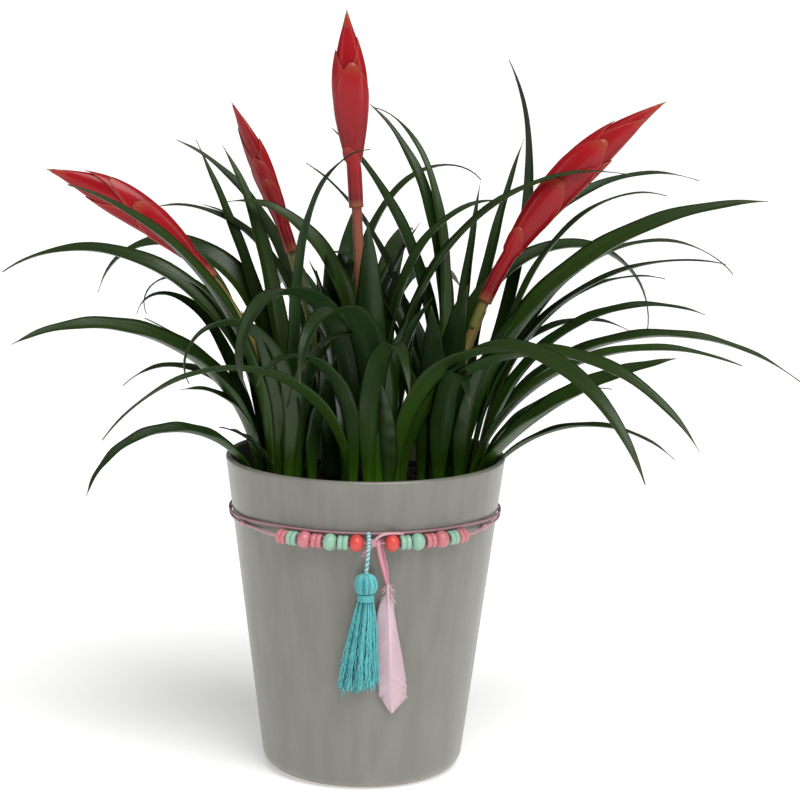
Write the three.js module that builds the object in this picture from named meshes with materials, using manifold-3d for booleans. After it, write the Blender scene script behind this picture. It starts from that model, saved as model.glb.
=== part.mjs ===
// A bromeliad of four rosettes with red flower swords, in a tapered ceramic pot with a bead garland.
// Millimetres, +Z up. The origin is the middle of the pot's underside, and the garland's tassel faces -Y.
import * as THREE from 'three';
import { mergeVertices } from 'three/addons/utils/BufferGeometryUtils.js';
import Module from 'manifold-3d';

// Driving dimensions of the ceramic pot.
const POT_HEIGHT = 166;
const POT_RIM_RADIUS = 72.5;
const POT_FOOT_RADIUS = 51.5;
const POT_FOOT_ROUND = 9;
const POT_WALL = 3;
const POT_FLOOR = 6;
const POT_COVE = 4;
const POT_SIDES = 40;

// The plastic pot that stands inside it, and the soil in that.
const NURSERY_HEIGHT = 144;
const NURSERY_TOP_RADIUS = 64.5;
const NURSERY_BOTTOM_RADIUS = 44;
const NURSERY_WALL = 1.2;
const SOIL_LEVEL = 147;
const GAP = 0.3;

// The garland.
const GARLAND_HEIGHT = 135.5;
const GARLAND_MIDDLE = 4.5;
const GARLAND_OPENING = 4.1;
const CORD_RADIUS = 0.9;
const BEAD_HOLE_RADIUS = 1.3;
const ROUND_BEAD = { radius: 4.3, length: 7.2 };
const DISC_BEAD = { radius: 3.6, length: 5.4 };
const BEAD_GROOVE = 0.5;
const BEAD_SIDES = 12;
const BEAD_SPACE = 0.35;
const UPPER_CORD_RISE = 4.2;
const BACK_CORD_RISE = 2.3;

// The plants, the middle of each stem at soil level.
const PLANTS = {
  left: { x: -40, y: -6 },
  back: { x: -18, y: 34 },
  middle: { x: 4, y: -6 },
  right: { x: 41, y: 4 },
};
const STEM_RADIUS = 7;
const STEM_TOP_RADIUS = 5;
const STEM_HEIGHT = 14;
const LEAF_STEPS = 12;
const LEAF_THICKNESS = 1.2;
const LEAF_THINNING = 0.6;
const LEAF_CHANNEL = 0.34;
const BASE_WIDTH = 0.42;

const COLOURS = {
  glaze: 0xa09f96,
  plastic: 0x26282a,
  soil: 0x2c2119,
  leaf: 0x2c4a22,
  innerLeaf: 0x3d6a2a,
  flowerStem: 0x6e2a22,
  bract: 0xb51f2a,
  coral: 0xe0504a,
  mint: 0x9ac8b0,
  pink: 0xdc8a90,
  cord: 0xc98a9c,
  teal: 0x3fa8ab,
  ribbon: 0xbe6f8f,
  feather: 0xe2b9c0,
};

const part = new THREE.Group();
const wasm = await Module();
wasm.setup();

const radians = THREE.MathUtils.degToRad;

function add(name, geometry, colour, roughness) {
  const material = new THREE.MeshStandardMaterial({ color: colour, roughness, metalness: 0 });
  const mesh = new THREE.Mesh(geometry, material);
  mesh.name = name;
  part.add(mesh);
  return mesh;
}

// A closed solid from rings of points: capped at both ends, or joined end to start.
function loft(rings, closed = false) {
  const sides = rings[0].length;
  const count = rings.length;
  const triangles = [];
  const spans = closed ? count : count - 1;
  for (let i = 0; i < spans; i += 1) {
    const next = (i + 1) % count;
    for (let j = 0; j < sides; j += 1) {
      const k = (j + 1) % sides;
      const a = i * sides + j;
      const b = i * sides + k;
      const c = next * sides + k;
      const d = next * sides + j;
      triangles.push(a, b, c, a, c, d);
    }
  }
  if (!closed) {
    const end = (count - 1) * sides;
    for (let j = 1; j < sides - 1; j += 1) {
      triangles.push(0, j + 1, j);
      triangles.push(end, end + j, end + j + 1);
    }
  }
  const points = rings.flat();
  let volume = 0;
  for (let i = 0; i < triangles.length; i += 3) {
    const [a, b, c] = [0, 1, 2].map((k) => points[triangles[i + k]]);
    volume += a.dot(new THREE.Vector3().crossVectors(b, c));
  }
  if (volume < 0) {
    triangles.reverse();
  }
  const geometry = new THREE.BufferGeometry();
  const numbers = points.flatMap((point) => point.toArray());
  geometry.setAttribute('position', new THREE.Float32BufferAttribute(numbers, 3));
  geometry.setIndex(triangles);
  return geometry;
}

// A solid of revolution about Z from a closed outline of [radius, height] pairs.
function turned(outline, sides) {
  const profile = outline.map(([radius, height]) => new THREE.Vector2(radius, height));
  profile.push(profile[0].clone());
  const geometry = new THREE.LatheGeometry(profile, sides);
  geometry.rotateX(Math.PI / 2);
  return geometry;
}

// An arc of an outline about (radius, height), in degrees from the outward direction.
function arc(radius, height, size, from, to, steps) {
  const points = [];
  for (let i = 0; i <= steps; i += 1) {
    const angle = radians(from + ((to - from) * i) / steps);
    points.push([radius + size * Math.cos(angle), height + size * Math.sin(angle)]);
  }
  return points;
}

function toManifold(geometry) {
  const bare = geometry.clone();
  bare.deleteAttribute('normal');
  bare.deleteAttribute('uv');
  const merged = mergeVertices(bare, 1e-4);
  const vertProperties = new Float32Array(merged.attributes.position.array);
  const triVerts = new Uint32Array(merged.index.array);
  return new wasm.Manifold(new wasm.Mesh({ numProp: 3, vertProperties, triVerts }));
}

function toGeometry(solid) {
  const mesh = solid.getMesh();
  const geometry = new THREE.BufferGeometry();
  geometry.setAttribute('position', new THREE.BufferAttribute(new Float32Array(mesh.vertProperties), 3));
  geometry.setIndex(new THREE.BufferAttribute(new Uint32Array(mesh.triVerts), 1));
  return geometry;
}

function joined(geometries) {
  const solids = geometries.map(toManifold);
  const sum = solids.slice(1).reduce((whole, next) => whole.add(next), solids[0]);
  return toGeometry(sum);
}

// A round section of a tube, square to the tube's direction.
function sectionRing(centre, direction, radius, sides) {
  const out = new THREE.Vector3(centre.x, centre.y, 0).normalize();
  const across = new THREE.Vector3().crossVectors(direction, out).normalize();
  const outward = new THREE.Vector3().crossVectors(across, direction).normalize();
  const ring = [];
  for (let j = 0; j < sides; j += 1) {
    const angle = (2 * Math.PI * j) / sides;
    const point = centre.clone();
    point.addScaledVector(across, radius * Math.cos(angle));
    point.addScaledVector(outward, radius * Math.sin(angle));
    ring.push(point);
  }
  return ring;
}

// ---- Pot, inner pot and soil

function potRadius(height) {
  return POT_FOOT_RADIUS + ((POT_RIM_RADIUS - POT_FOOT_RADIUS) * height) / POT_HEIGHT;
}

function makePot() {
  const rimRound = POT_WALL / 2;
  const footCentre = POT_FOOT_RADIUS - POT_FOOT_ROUND + 1;
  const foot = arc(footCentre, POT_FOOT_ROUND, POT_FOOT_ROUND, -90, -8, 4);
  const rim = arc(POT_RIM_RADIUS - rimRound, POT_HEIGHT - rimRound, rimRound, 0, 180, 4);
  const inside = potRadius(POT_FLOOR) - POT_WALL;
  const cove = [[inside, POT_FLOOR + POT_COVE], [inside - POT_COVE, POT_FLOOR], [0, POT_FLOOR]];
  const outline = [[0, 0], ...foot, ...rim, ...cove];
  add('pot', turned(outline, POT_SIDES), COLOURS.glaze, 0.35);
}

function makeNurseryPot() {
  const bottom = POT_FLOOR + GAP;
  const top = bottom + NURSERY_HEIGHT;
  const outline = [
    [0, bottom],
    [NURSERY_BOTTOM_RADIUS, bottom],
    [NURSERY_TOP_RADIUS, top],
    [NURSERY_TOP_RADIUS - NURSERY_WALL, top],
    [NURSERY_BOTTOM_RADIUS - NURSERY_WALL, bottom + NURSERY_WALL],
    [0, bottom + NURSERY_WALL],
  ];
  add('nursery_pot', turned(outline, POT_SIDES), COLOURS.plastic, 0.5);
}

function makeSoil() {
  const bottom = POT_FLOOR + NURSERY_WALL + 2 * GAP;
  const slope = (NURSERY_TOP_RADIUS - NURSERY_BOTTOM_RADIUS) / NURSERY_HEIGHT;
  const bottomRadius = NURSERY_BOTTOM_RADIUS - NURSERY_WALL - 2 * GAP;
  const edge = bottomRadius + slope * (SOIL_LEVEL - bottom);
  const outline = [[0, bottom], [bottomRadius, bottom], [edge, SOIL_LEVEL], [0, SOIL_LEVEL]];
  add('soil', turned(outline, POT_SIDES), COLOURS.soil, 1);
}

// ---- Leaves

// Rows: plant, base angle, base radius, heading, length, lift, droop, bend, twist, width.
// Angles are degrees: heading and base angle about Z from +X, lift and droop from level.
const SINGLE_LEAVES = [
  ['left', 188, 17, 191, 174, 93, -25, 0.93, -25, 22],
  ['left', 150, 11, 165, 223, 88, -33, 1.26, -20, 20],
  ['left', 224, 14, 193, 201, 91, 19, 1.14, -25, 19],
  ['left', 110, 15, 158, 207, 90, -74, 2.05, -30, 21],
  ['left', 222, 21, 198, 117, 76, -70, 0.97, -20, 13],
  ['left', 265, 16.5, 215, 149, 92, -122, 2.65, 25, 16],
  ['back', 152, 13, 166, 201, 88, 22, 2.0, -20, 15],
  ['back', 208, 17, 181, 187, 92, -12, 2.25, -20, 13],
  ['back', 100, 15, 105, 200, 75, -45, 1.4, 10, 18],
  ['back', 60, 15, 62, 190, 78, -40, 1.5, -10, 18],
  ['middle', 228, 18, 219, 194, 90, -44, 0.84, 20, 12],
  ['middle', 205, 16, 236, 200, 90, -129, 2.25, 10, 21],
  ['middle', 274, 18.5, 243, 174, 91, -99, 2.25, 10, 22],
  ['middle', 346, 17, 328, 221, 92, -52, 0.85, 15, 18],
  ['middle', 311, 19, 312, 238, 92, -63, 0.93, 20, 18],
  ['right', 340, 11, 357, 235, 89, 4, 0.94, 30, 25],
  ['right', 60, 14.5, 33, 229, 70, 123, 3.1, 10, 11],
  ['right', 352, 18, 6.5, 171, 82, -20, 1.29, 20, 13],
  ['right', 326.5, 15.5, 348, 176, 80, -19, 0.89, 20, 13],
  ['right', 313, 20.5, 344, 132, 68, 17, 0.6, 35, 21],
  ['right', 25, 18, 1, 213, 86, -36, 0.81, 15, 14],
  ['right', 105, 20.5, 28, 256, 81, -18, 1.56, 20, 12],
];

const HEART_LEAVES = {
  left: [
    ['left', 80, 8, 147, 182, 84, 52, 2.6, -20, 14],
    ['left', 320, 7, 337, 193, 90, 5, 5.5, 10, 15],
    ['left', 60, 5, 80, 64, 84, 40, 1.8, 0, 17],
    ['left', 315, 5, 315, 90, 86, 40, 2.0, 0, 18],
  ],
  back: [
    ['back', 95, 6.5, 118, 180, 82, -20, 1.8, 10, 12],
    ['back', 20, 5, 14, 206, 86, -50, 4.44, 10, 13],
    ['back', 60, 5, 85, 170, 84, 10, 1.8, 0, 17],
    ['back', 250, 5, 250, 115, 88, 60, 2.0, 0, 14],
  ],
  middle: [
    ['middle', 165, 5, 164, 185, 86, -13, 3.0, -20, 21],
    ['middle', 340, 5, 5, 180, 88, -9, 3.5, 20, 15],
    ['middle', 90, 5, 80, 190, 84, -20, 1.8, 0, 17],
    ['middle', 320, 5, 320, 110, 84, 50, 2.0, 0, 18],
    ['middle', 250, 5, 256, 142, 89, 76, 2.0, 0, 22],
  ],
  right: [
    ['right', 170, 5, 170, 199, 90, 42, 1.81, -20, 17],
    ['right', 130, 5, 149, 209, 92, 36, 2.69, -20, 14],
    ['right', 78, 9.5, 21, 233, 92, -100, 1.88, 20, 17],
    ['right', 270, 5, 285, 120, 84, 45, 2.0, 0, 18],
    ['right', 140, 5, 128, 170, 80, -10, 1.7, 0, 17],
  ],
};

function slopeDirection(slope, turn) {
  const level = Math.cos(slope);
  return new THREE.Vector3(level * Math.cos(turn), level * Math.sin(turn), Math.sin(slope));
}

// A leaf's width along its length: narrow at the stem, full by a third and pointed at the tip.
function leafWidth(share) {
  const full = BASE_WIDTH + (1 - BASE_WIDTH) * THREE.MathUtils.smoothstep(share, 0, 0.35);
  return Math.max(0.05, full * (1 - share ** 2.2));
}

// A channelled strap that leaves its stem at the lift angle and ends at the droop angle.
function leafGeometry([plant, baseAngle, baseRadius, heading, length, lift, droop, bend, twist, width]) {
  const turn = radians(heading);
  const side = new THREE.Vector3(-Math.sin(turn), Math.cos(turn), 0);
  const stem = PLANTS[plant];
  const base = radians(baseAngle);
  const point = new THREE.Vector3(stem.x, stem.y, SOIL_LEVEL + GAP + LEAF_THICKNESS);
  point.x += baseRadius * Math.cos(base);
  point.y += baseRadius * Math.sin(base);
  const rings = [];
  for (let i = 0; i <= LEAF_STEPS; i += 1) {
    const share = i / LEAF_STEPS;
    const slope = radians(lift + (droop - lift) * share ** bend);
    const along = slopeDirection(slope, turn);
    const across = side.clone().applyAxisAngle(along, radians(twist) * share);
    const up = new THREE.Vector3().crossVectors(along, across);
    const half = (width / 2) * leafWidth(share);
    const rise = 2 * half * LEAF_CHANNEL;
    const thick = (LEAF_THICKNESS / 2) * (1 - LEAF_THINNING * share);
    rings.push([
      point.clone().addScaledVector(across, -half).addScaledVector(up, rise),
      point.clone().addScaledVector(up, -thick),
      point.clone().addScaledVector(across, half).addScaledVector(up, rise),
      point.clone().addScaledVector(up, thick),
    ]);
    const middleSlope = radians(lift + (droop - lift) * ((i + 0.5) / LEAF_STEPS) ** bend);
    point.addScaledVector(slopeDirection(middleSlope, turn), length / LEAF_STEPS);
  }
  return loft(rings);
}

function makeLeaves() {
  const numbers = {};
  SINGLE_LEAVES.forEach((leaf) => {
    const plant = leaf[0];
    numbers[plant] = (numbers[plant] ?? 0) + 1;
    add(`${plant}_leaf_${numbers[plant]}`, leafGeometry(leaf), COLOURS.leaf, 0.4);
  });
  Object.entries(HEART_LEAVES).forEach(([plant, leaves]) => {
    const { x, y } = PLANTS[plant];
    const bottom = SOIL_LEVEL + GAP;
    const top = bottom + STEM_HEIGHT;
    const outline = [[0, bottom], [STEM_RADIUS, bottom], [STEM_TOP_RADIUS, top], [0, top]];
    const stem = turned(outline, 12);
    stem.translate(x, y, 0);
    add(`${plant}_heart`, joined([stem, ...leaves.map(leafGeometry)]), COLOURS.innerLeaf, 0.4);
  });
}

// ---- Flower swords

// Each sword leans along its heading; its head is the last part of its length. The face angle turns
// a head about its own length.
const SWORDS = [
  { plant: 'left', heading: 182, length: 208, lift: 81.5, droop: 14, bend: 1.15, head: 90, width: 18 },
  { plant: 'back', heading: 175, length: 193, lift: 81.5, droop: 62, bend: 1.3, head: 76, width: 15, face: 40 },
  { plant: 'middle', heading: 180, length: 234, lift: 85, droop: 87, bend: 1, head: 80, width: 18.5 },
  { plant: 'right', heading: 2, length: 229, lift: 87, droop: 30, bend: 1.05, head: 112, width: 19.5 },
];
const SWORD_STEPS = 24;
const FLOWER_STEM_RADIUS = 2.6;
const FLOWER_STEM_SIDES = 6;
const HEAD_SIDES = 8;
const HEAD_FLATNESS = 0.5;

function swordFrames({ plant, heading, length, lift, droop, bend }) {
  const { x, y } = PLANTS[plant];
  const turn = radians(heading);
  const point = new THREE.Vector3(x, y, SOIL_LEVEL + STEM_HEIGHT + 4 * GAP);
  const frames = [];
  for (let i = 0; i <= SWORD_STEPS; i += 1) {
    const slope = radians(lift + (droop - lift) * (i / SWORD_STEPS) ** bend);
    const along = slopeDirection(slope, turn);
    const across = new THREE.Vector3(-Math.sin(turn), Math.cos(turn), 0);
    const up = new THREE.Vector3().crossVectors(along, across);
    frames.push({ point: point.clone(), along, across, up });
    const middle = radians(lift + (droop - lift) * ((i + 0.5) / SWORD_STEPS) ** bend);
    point.addScaledVector(slopeDirection(middle, turn), length / SWORD_STEPS);
  }
  return frames;
}

// The head's width along its length: it swells from the stem to its middle and narrows to a point.
function headSwell(share) {
  if (share < 0.48) {
    return 0.42 + 0.58 * Math.sin((Math.PI * share) / 0.96);
  }
  return Math.max(0.04, Math.cos((Math.PI * (share - 0.48)) / 1.04) ** 1.2);
}

function makeSword(sword) {
  const frames = swordFrames(sword);
  const split = Math.round(SWORD_STEPS * (1 - sword.head / sword.length));
  const stemRings = frames.slice(0, split + 1).map(({ point, across, up }, i) => {
    const back = i === split ? -GAP : 0;
    const centre = point.clone().addScaledVector(frames[split].along, back);
    return Array.from({ length: FLOWER_STEM_SIDES }, (_, j) => {
      const angle = (2 * Math.PI * j) / FLOWER_STEM_SIDES;
      const edge = centre.clone().addScaledVector(across, FLOWER_STEM_RADIUS * Math.cos(angle));
      return edge.addScaledVector(up, FLOWER_STEM_RADIUS * Math.sin(angle));
    });
  });
  add(`${sword.plant}_flower_stem`, loft(stemRings), COLOURS.flowerStem, 0.5);

  const face = radians(sword.face ?? 0);
  const headFrames = frames.slice(split);
  const last = headFrames.length - 1;
  const headRings = headFrames.map(({ point, across, up }, i) => {
    const share = i / last;
    const half = (sword.width / 2) * headSwell(share);
    const wide = up.clone().multiplyScalar(Math.cos(face)).addScaledVector(across, Math.sin(face));
    const thin = across.clone().multiplyScalar(Math.cos(face)).addScaledVector(up, -Math.sin(face));
    const ring = [];
    for (let j = 0; j < HEAD_SIDES; j += 1) {
      const angle = (2 * Math.PI * j) / HEAD_SIDES;
      const edge = point.clone().addScaledVector(wide, half * Math.cos(angle));
      ring.push(edge.addScaledVector(thin, half * HEAD_FLATNESS * Math.sin(angle)));
    }
    return ring;
  });
  add(`${sword.plant}_flower_bracts`, loft(headRings), COLOURS.bract, 0.35);
}

// ---- Garland

// The point of the garland at an angle in degrees from the front, at a height and a distance off the wall.
function garlandPoint(angle, height, off) {
  const turn = radians(GARLAND_MIDDLE + angle);
  const radius = potRadius(height) + off;
  return new THREE.Vector3(radius * Math.sin(turn), -radius * Math.cos(turn), height);
}

const BEAD_ORDER = [
  ['coral', ROUND_BEAD],
  ['mint', DISC_BEAD],
  ['mint', ROUND_BEAD],
  ['pink', DISC_BEAD],
  ['pink', ROUND_BEAD],
  ['mint', DISC_BEAD],
  ['pink', DISC_BEAD],
];
const BEAD_OFF = ROUND_BEAD.radius + 0.5;
const CORD_OFF = CORD_RADIUS + GAP + 0.1;
const CORD_STEPS = 60;
const CORD_SIDES = 6;
const KNOT_ANGLES = [-66, 56];
const KNOT_AT = 0.4;
const KNOT = { hole: 1.3, shoulder: 2.2, radius: 2.5, half: 1.3 };
const KNOT_SWELL = 0.25;
const KNOT_REACH = 3;
const LAST_BEAD = 42;
const CORD_LANDS = 58;
const UPPER_CORD_DROP = { from: 38, to: 80 };

function degreesOf(length) {
  return THREE.MathUtils.radToDeg(length / (potRadius(GARLAND_HEIGHT) + BEAD_OFF));
}

function beadOutline({ radius, length }) {
  const half = length / 2;
  if (radius === ROUND_BEAD.radius) {
    const shoulder = Math.acos(BEAD_HOLE_RADIUS / radius);
    const curve = [];
    for (let i = 0; i <= 6; i += 1) {
      const angle = shoulder * (-1 + i / 3);
      curve.push([radius * Math.cos(angle), (half * Math.sin(angle)) / Math.sin(shoulder)]);
    }
    return curve;
  }
  return [
    [BEAD_HOLE_RADIUS, -half],
    [radius - BEAD_GROOVE, -half],
    [radius, -half / 2],
    [radius - BEAD_GROOVE, -BEAD_GROOVE / 2],
    [radius - BEAD_GROOVE, BEAD_GROOVE / 2],
    [radius, half / 2],
    [radius - BEAD_GROOVE, half],
    [BEAD_HOLE_RADIUS, half],
  ];
}

function makeBeads() {
  [-1, 1].forEach((side) => {
    let reach = GARLAND_OPENING;
    BEAD_ORDER.forEach(([colour, bead], index) => {
      const angle = reach + degreesOf(bead.length) / 2;
      reach += degreesOf(bead.length + BEAD_SPACE);
      const geometry = turned(beadOutline(bead), BEAD_SIDES);
      geometry.rotateY(Math.PI / 2);
      geometry.rotateZ(radians(GARLAND_MIDDLE + side * angle));
      const centre = garlandPoint(side * angle, GARLAND_HEIGHT, BEAD_OFF);
      geometry.translate(centre.x, centre.y, centre.z);
      const name = `${side < 0 ? 'left' : 'right'}_bead_${index + 1}_${colour}`;
      add(name, geometry, COLOURS[colour], 0.45);
    });
  });
}

function loopRings(pointAt, radiusAt) {
  const rings = [];
  for (let i = 0; i < CORD_STEPS; i += 1) {
    const angle = (360 * i) / CORD_STEPS;
    const before = pointAt(angle - 1);
    const after = pointAt(angle + 1);
    const direction = after.sub(before).normalize();
    rings.push(sectionRing(pointAt(angle), direction, radiusAt(angle), CORD_SIDES));
  }
  return rings;
}

// The shortest turn between two angles.
function apart(angle, other) {
  return Math.abs(THREE.MathUtils.euclideanModulo(angle - other + 180, 360) - 180);
}

// The knot that ties the lower cord beside the middle.
function makeGarlandKnot() {
  const { hole, shoulder, radius, half } = KNOT;
  const outline = [[hole, -half], [shoulder, -0.8 * half], [radius, 0], [shoulder, 0.8 * half], [hole, half]];
  const geometry = turned(outline, BEAD_SIDES);
  geometry.rotateY(Math.PI / 2);
  geometry.rotateZ(radians(GARLAND_MIDDLE + KNOT_AT));
  const centre = garlandPoint(KNOT_AT, GARLAND_HEIGHT, BEAD_OFF);
  geometry.translate(centre.x, centre.y, centre.z);
  add('garland_knot', geometry, COLOURS.cord, 0.6);
}

function makeCords() {
  const lower = (angle) => {
    const away = apart(angle, 0);
    const landed = THREE.MathUtils.smoothstep(away, LAST_BEAD, CORD_LANDS);
    return garlandPoint(angle, GARLAND_HEIGHT, THREE.MathUtils.lerp(BEAD_OFF, CORD_OFF, landed));
  };
  const knot = (angle) => {
    const nearest = Math.min(...KNOT_ANGLES.map((at) => apart(angle, at)));
    return CORD_RADIUS * (1 + KNOT_SWELL * Math.max(0, 1 - nearest / KNOT_REACH));
  };
  add('lower_cord', loft(loopRings(lower, knot), true), COLOURS.cord, 0.6);
  const upper = (angle) => {
    const front = 1 - THREE.MathUtils.smoothstep(apart(angle, 0), UPPER_CORD_DROP.from, UPPER_CORD_DROP.to);
    const rise = THREE.MathUtils.lerp(BACK_CORD_RISE, UPPER_CORD_RISE, front);
    return garlandPoint(angle, GARLAND_HEIGHT + rise, CORD_OFF);
  };
  add('upper_cord', loft(loopRings(upper, () => CORD_RADIUS), true), COLOURS.cord, 0.6);
}

// ---- Tassel and feather, which hang from the garland's middle

const HANG_LEVEL = 120;
const HANG_OFF = 6.5;
const HANG_Y = -(potRadius(HANG_LEVEL) + HANG_OFF);
const TASSEL = {
  x: 1.8,
  top: 119.6,
  headHeight: 9.2,
  headRadius: 5.4,
  bindHeight: 4,
  bindRadius: 4.4,
  hem: 60,
  spread: 6,
  drift: -2.2,
  thinning: 0.4,
  clearance: 0.8,
};
const TASSEL_SIDES = 14;
const TASSEL_CORD_RADIUS = 1;
const FEATHER = { x: 12.6, top: 114.6, tip: 44, width: 14, thickness: 1, drift: 3, lean: 3, pointed: 0.15 };
const RIBBON = { top: 132.6, bottom: 115, startX: 8.4, endX: 12.4, halfWidth: 1.8, thickness: 1, off: 3.2 };

function makeTassel() {
  const { x, top, headHeight, headRadius, bindHeight, bindRadius, hem } = TASSEL;
  const place = (geometry) => {
    geometry.translate(x, HANG_Y, 0);
    return geometry;
  };
  const headBottom = top - headHeight;
  const head = [
    [0, headBottom],
    [headRadius * 0.8, headBottom],
    [headRadius, headBottom + headHeight * 0.4],
    [headRadius * 0.9, headBottom + headHeight * 0.75],
    [headRadius * 0.45, top],
    [0, top],
  ];
  add('tassel_head', place(turned(head, TASSEL_SIDES)), COLOURS.teal, 0.7);
  const bindTop = headBottom - GAP;
  const bindBottom = bindTop - bindHeight;
  const bind = [[0, bindBottom], [bindRadius, bindBottom], [bindRadius, bindTop], [0, bindTop]];
  add('tassel_binding', place(turned(bind, TASSEL_SIDES)), COLOURS.teal, 0.7);
  const skirtTop = bindBottom - GAP;
  const steps = 6;
  const rings = [];
  for (let i = 0; i <= steps; i += 1) {
    const share = i / steps;
    const height = THREE.MathUtils.lerp(skirtTop, hem, share);
    const wide = bindRadius + TASSEL.spread * share ** 0.8;
    const deep = bindRadius - TASSEL.thinning * share;
    const wall = -(potRadius(height) + TASSEL.clearance + deep);
    const middle = new THREE.Vector3(x + TASSEL.drift * share, wall, height);
    rings.push(ovalRing(middle, wide, deep, TASSEL_SIDES));
  }
  add('tassel_skirt', loft(rings), COLOURS.teal, 0.8);
}

function ovalRing(middle, wide, deep, sides) {
  const ring = [];
  for (let j = 0; j < sides; j += 1) {
    const angle = (2 * Math.PI * j) / sides;
    ring.push(new THREE.Vector3(wide * Math.cos(angle), deep * Math.sin(angle), 0).add(middle));
  }
  return ring;
}

// The twisted cord that the tassel hangs by, from over the lower cord down to the tassel's head.
function makeTasselCord() {
  const route = [
    [3, -76.2, 138.4],
    [3, -76.2, 134],
    [2.6, -75.4, 128],
    [2, -74, 122],
    [1.8, -73.2, 120],
  ];
  const curve = new THREE.CatmullRomCurve3(route.map((p) => new THREE.Vector3(...p)));
  const section = new THREE.Shape();
  section.absarc(0, 0, TASSEL_CORD_RADIUS, 0, 2 * Math.PI);
  const geometry = new THREE.ExtrudeGeometry(section, { steps: 8, curveSegments: 8, extrudePath: curve });
  add('tassel_cord', geometry, COLOURS.teal, 0.7);
}

function makeFeather() {
  const { x, top, tip, width, thickness, drift, lean, pointed } = FEATHER;
  const steps = 10;
  const rings = [];
  for (let i = 0; i <= steps; i += 1) {
    const share = i / steps;
    const height = THREE.MathUtils.lerp(top, tip, share);
    const closing = Math.min(1, Math.max(0.05, (1 - share) / pointed));
    const half = (width / 2) * Math.min(1, 0.1 + share * 3.2) * closing * (0.8 + 0.25 * share);
    const middle = x + drift * share;
    const wall = -(potRadius(height) + thickness + lean * (1 - share));
    rings.push([
      new THREE.Vector3(middle - half, wall, height),
      new THREE.Vector3(middle, wall - thickness / 2, height),
      new THREE.Vector3(middle + half, wall, height),
      new THREE.Vector3(middle, wall + thickness / 2, height),
    ]);
  }
  add('feather', loft(rings), COLOURS.feather, 0.8);
}

// The folded ribbon that holds the feather, from under the lower cord down to the feather's quill.
function makeRibbon() {
  const steps = 4;
  const y = -(potRadius(RIBBON.top) + RIBBON.off);
  const front = y - RIBBON.thickness / 2;
  const rear = y + RIBBON.thickness / 2;
  const rings = [];
  for (let i = 0; i <= steps; i += 1) {
    const share = i / steps;
    const height = THREE.MathUtils.lerp(RIBBON.top, RIBBON.bottom, share);
    const middle = THREE.MathUtils.lerp(RIBBON.startX, RIBBON.endX, share);
    rings.push([
      new THREE.Vector3(middle - RIBBON.halfWidth, front, height),
      new THREE.Vector3(middle + RIBBON.halfWidth, front, height),
      new THREE.Vector3(middle + RIBBON.halfWidth, rear, height),
      new THREE.Vector3(middle - RIBBON.halfWidth, rear, height),
    ]);
  }
  add('feather_ribbon', loft(rings), COLOURS.ribbon, 0.7);
}

makePot();
makeNurseryPot();
makeSoil();
makeLeaves();
SWORDS.forEach(makeSword);
makeBeads();
makeCords();
makeGarlandKnot();
makeTassel();
makeTasselCord();
makeFeather();
makeRibbon();

export default part;
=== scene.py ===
import math
import random

import bpy
from mathutils import Matrix, Vector


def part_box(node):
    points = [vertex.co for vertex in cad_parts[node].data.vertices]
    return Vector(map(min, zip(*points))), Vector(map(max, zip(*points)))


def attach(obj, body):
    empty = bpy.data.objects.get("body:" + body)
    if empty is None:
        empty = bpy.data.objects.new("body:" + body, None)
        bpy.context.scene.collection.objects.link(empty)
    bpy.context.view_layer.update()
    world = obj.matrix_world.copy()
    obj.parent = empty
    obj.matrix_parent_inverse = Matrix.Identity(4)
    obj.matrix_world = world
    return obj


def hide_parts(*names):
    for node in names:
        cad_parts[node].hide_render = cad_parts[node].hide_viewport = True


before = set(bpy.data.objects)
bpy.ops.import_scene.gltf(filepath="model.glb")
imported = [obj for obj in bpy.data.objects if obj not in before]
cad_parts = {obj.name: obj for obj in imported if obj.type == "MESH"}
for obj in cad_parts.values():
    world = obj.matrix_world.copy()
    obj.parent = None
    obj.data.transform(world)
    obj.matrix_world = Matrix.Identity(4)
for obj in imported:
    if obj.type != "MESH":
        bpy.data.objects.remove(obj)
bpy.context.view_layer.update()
mm = 0.001


def addObject(name, data):
    piece = bpy.data.objects.new(name, data)
    bpy.context.scene.collection.objects.link(piece)
    return piece


# The camera stands in front of the plant and looks slightly down on it.
cameraSettings = {
    "place": Vector((0.016, -1.300, 0.431)),
    "target": Vector((0.0174, 0.0, 0.1942)),
    "lens": 115,
    "roll": 0.86,  # degrees
}


def makeCamera():
    data = bpy.data.cameras.new("plantCamera")
    data.lens = cameraSettings["lens"]
    camera = addObject("plantCamera", data)
    forward = (cameraSettings["target"] - cameraSettings["place"]).normalized()
    right = forward.cross(Vector((0, 0, 1))).normalized()
    up = right.cross(forward)
    roll = math.radians(cameraSettings["roll"])
    rolledRight = right * math.cos(roll) + up * math.sin(roll)
    rolledUp = up * math.cos(roll) - right * math.sin(roll)
    turned = Matrix((rolledRight, rolledUp, -forward)).transposed().to_4x4()
    camera.matrix_world = Matrix.Translation(cameraSettings["place"]) @ turned
    bpy.context.scene.camera = camera


makeCamera()
print("camera placed")


def smoothStep(value, low, high):
    share = min(1.0, max(0.0, (value - low) / (high - low)))
    return share * share * (3 - 2 * share)


def mix(a, b, share):
    return a + (b - a) * share


def onCircle(radius, angle, height=0.0):
    return Vector((radius * math.cos(angle), radius * math.sin(angle), height))


def circlePoints(radius, height, sides):
    return [onCircle(radius, 2 * math.pi * j / sides, height) for j in range(sides)]


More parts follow.
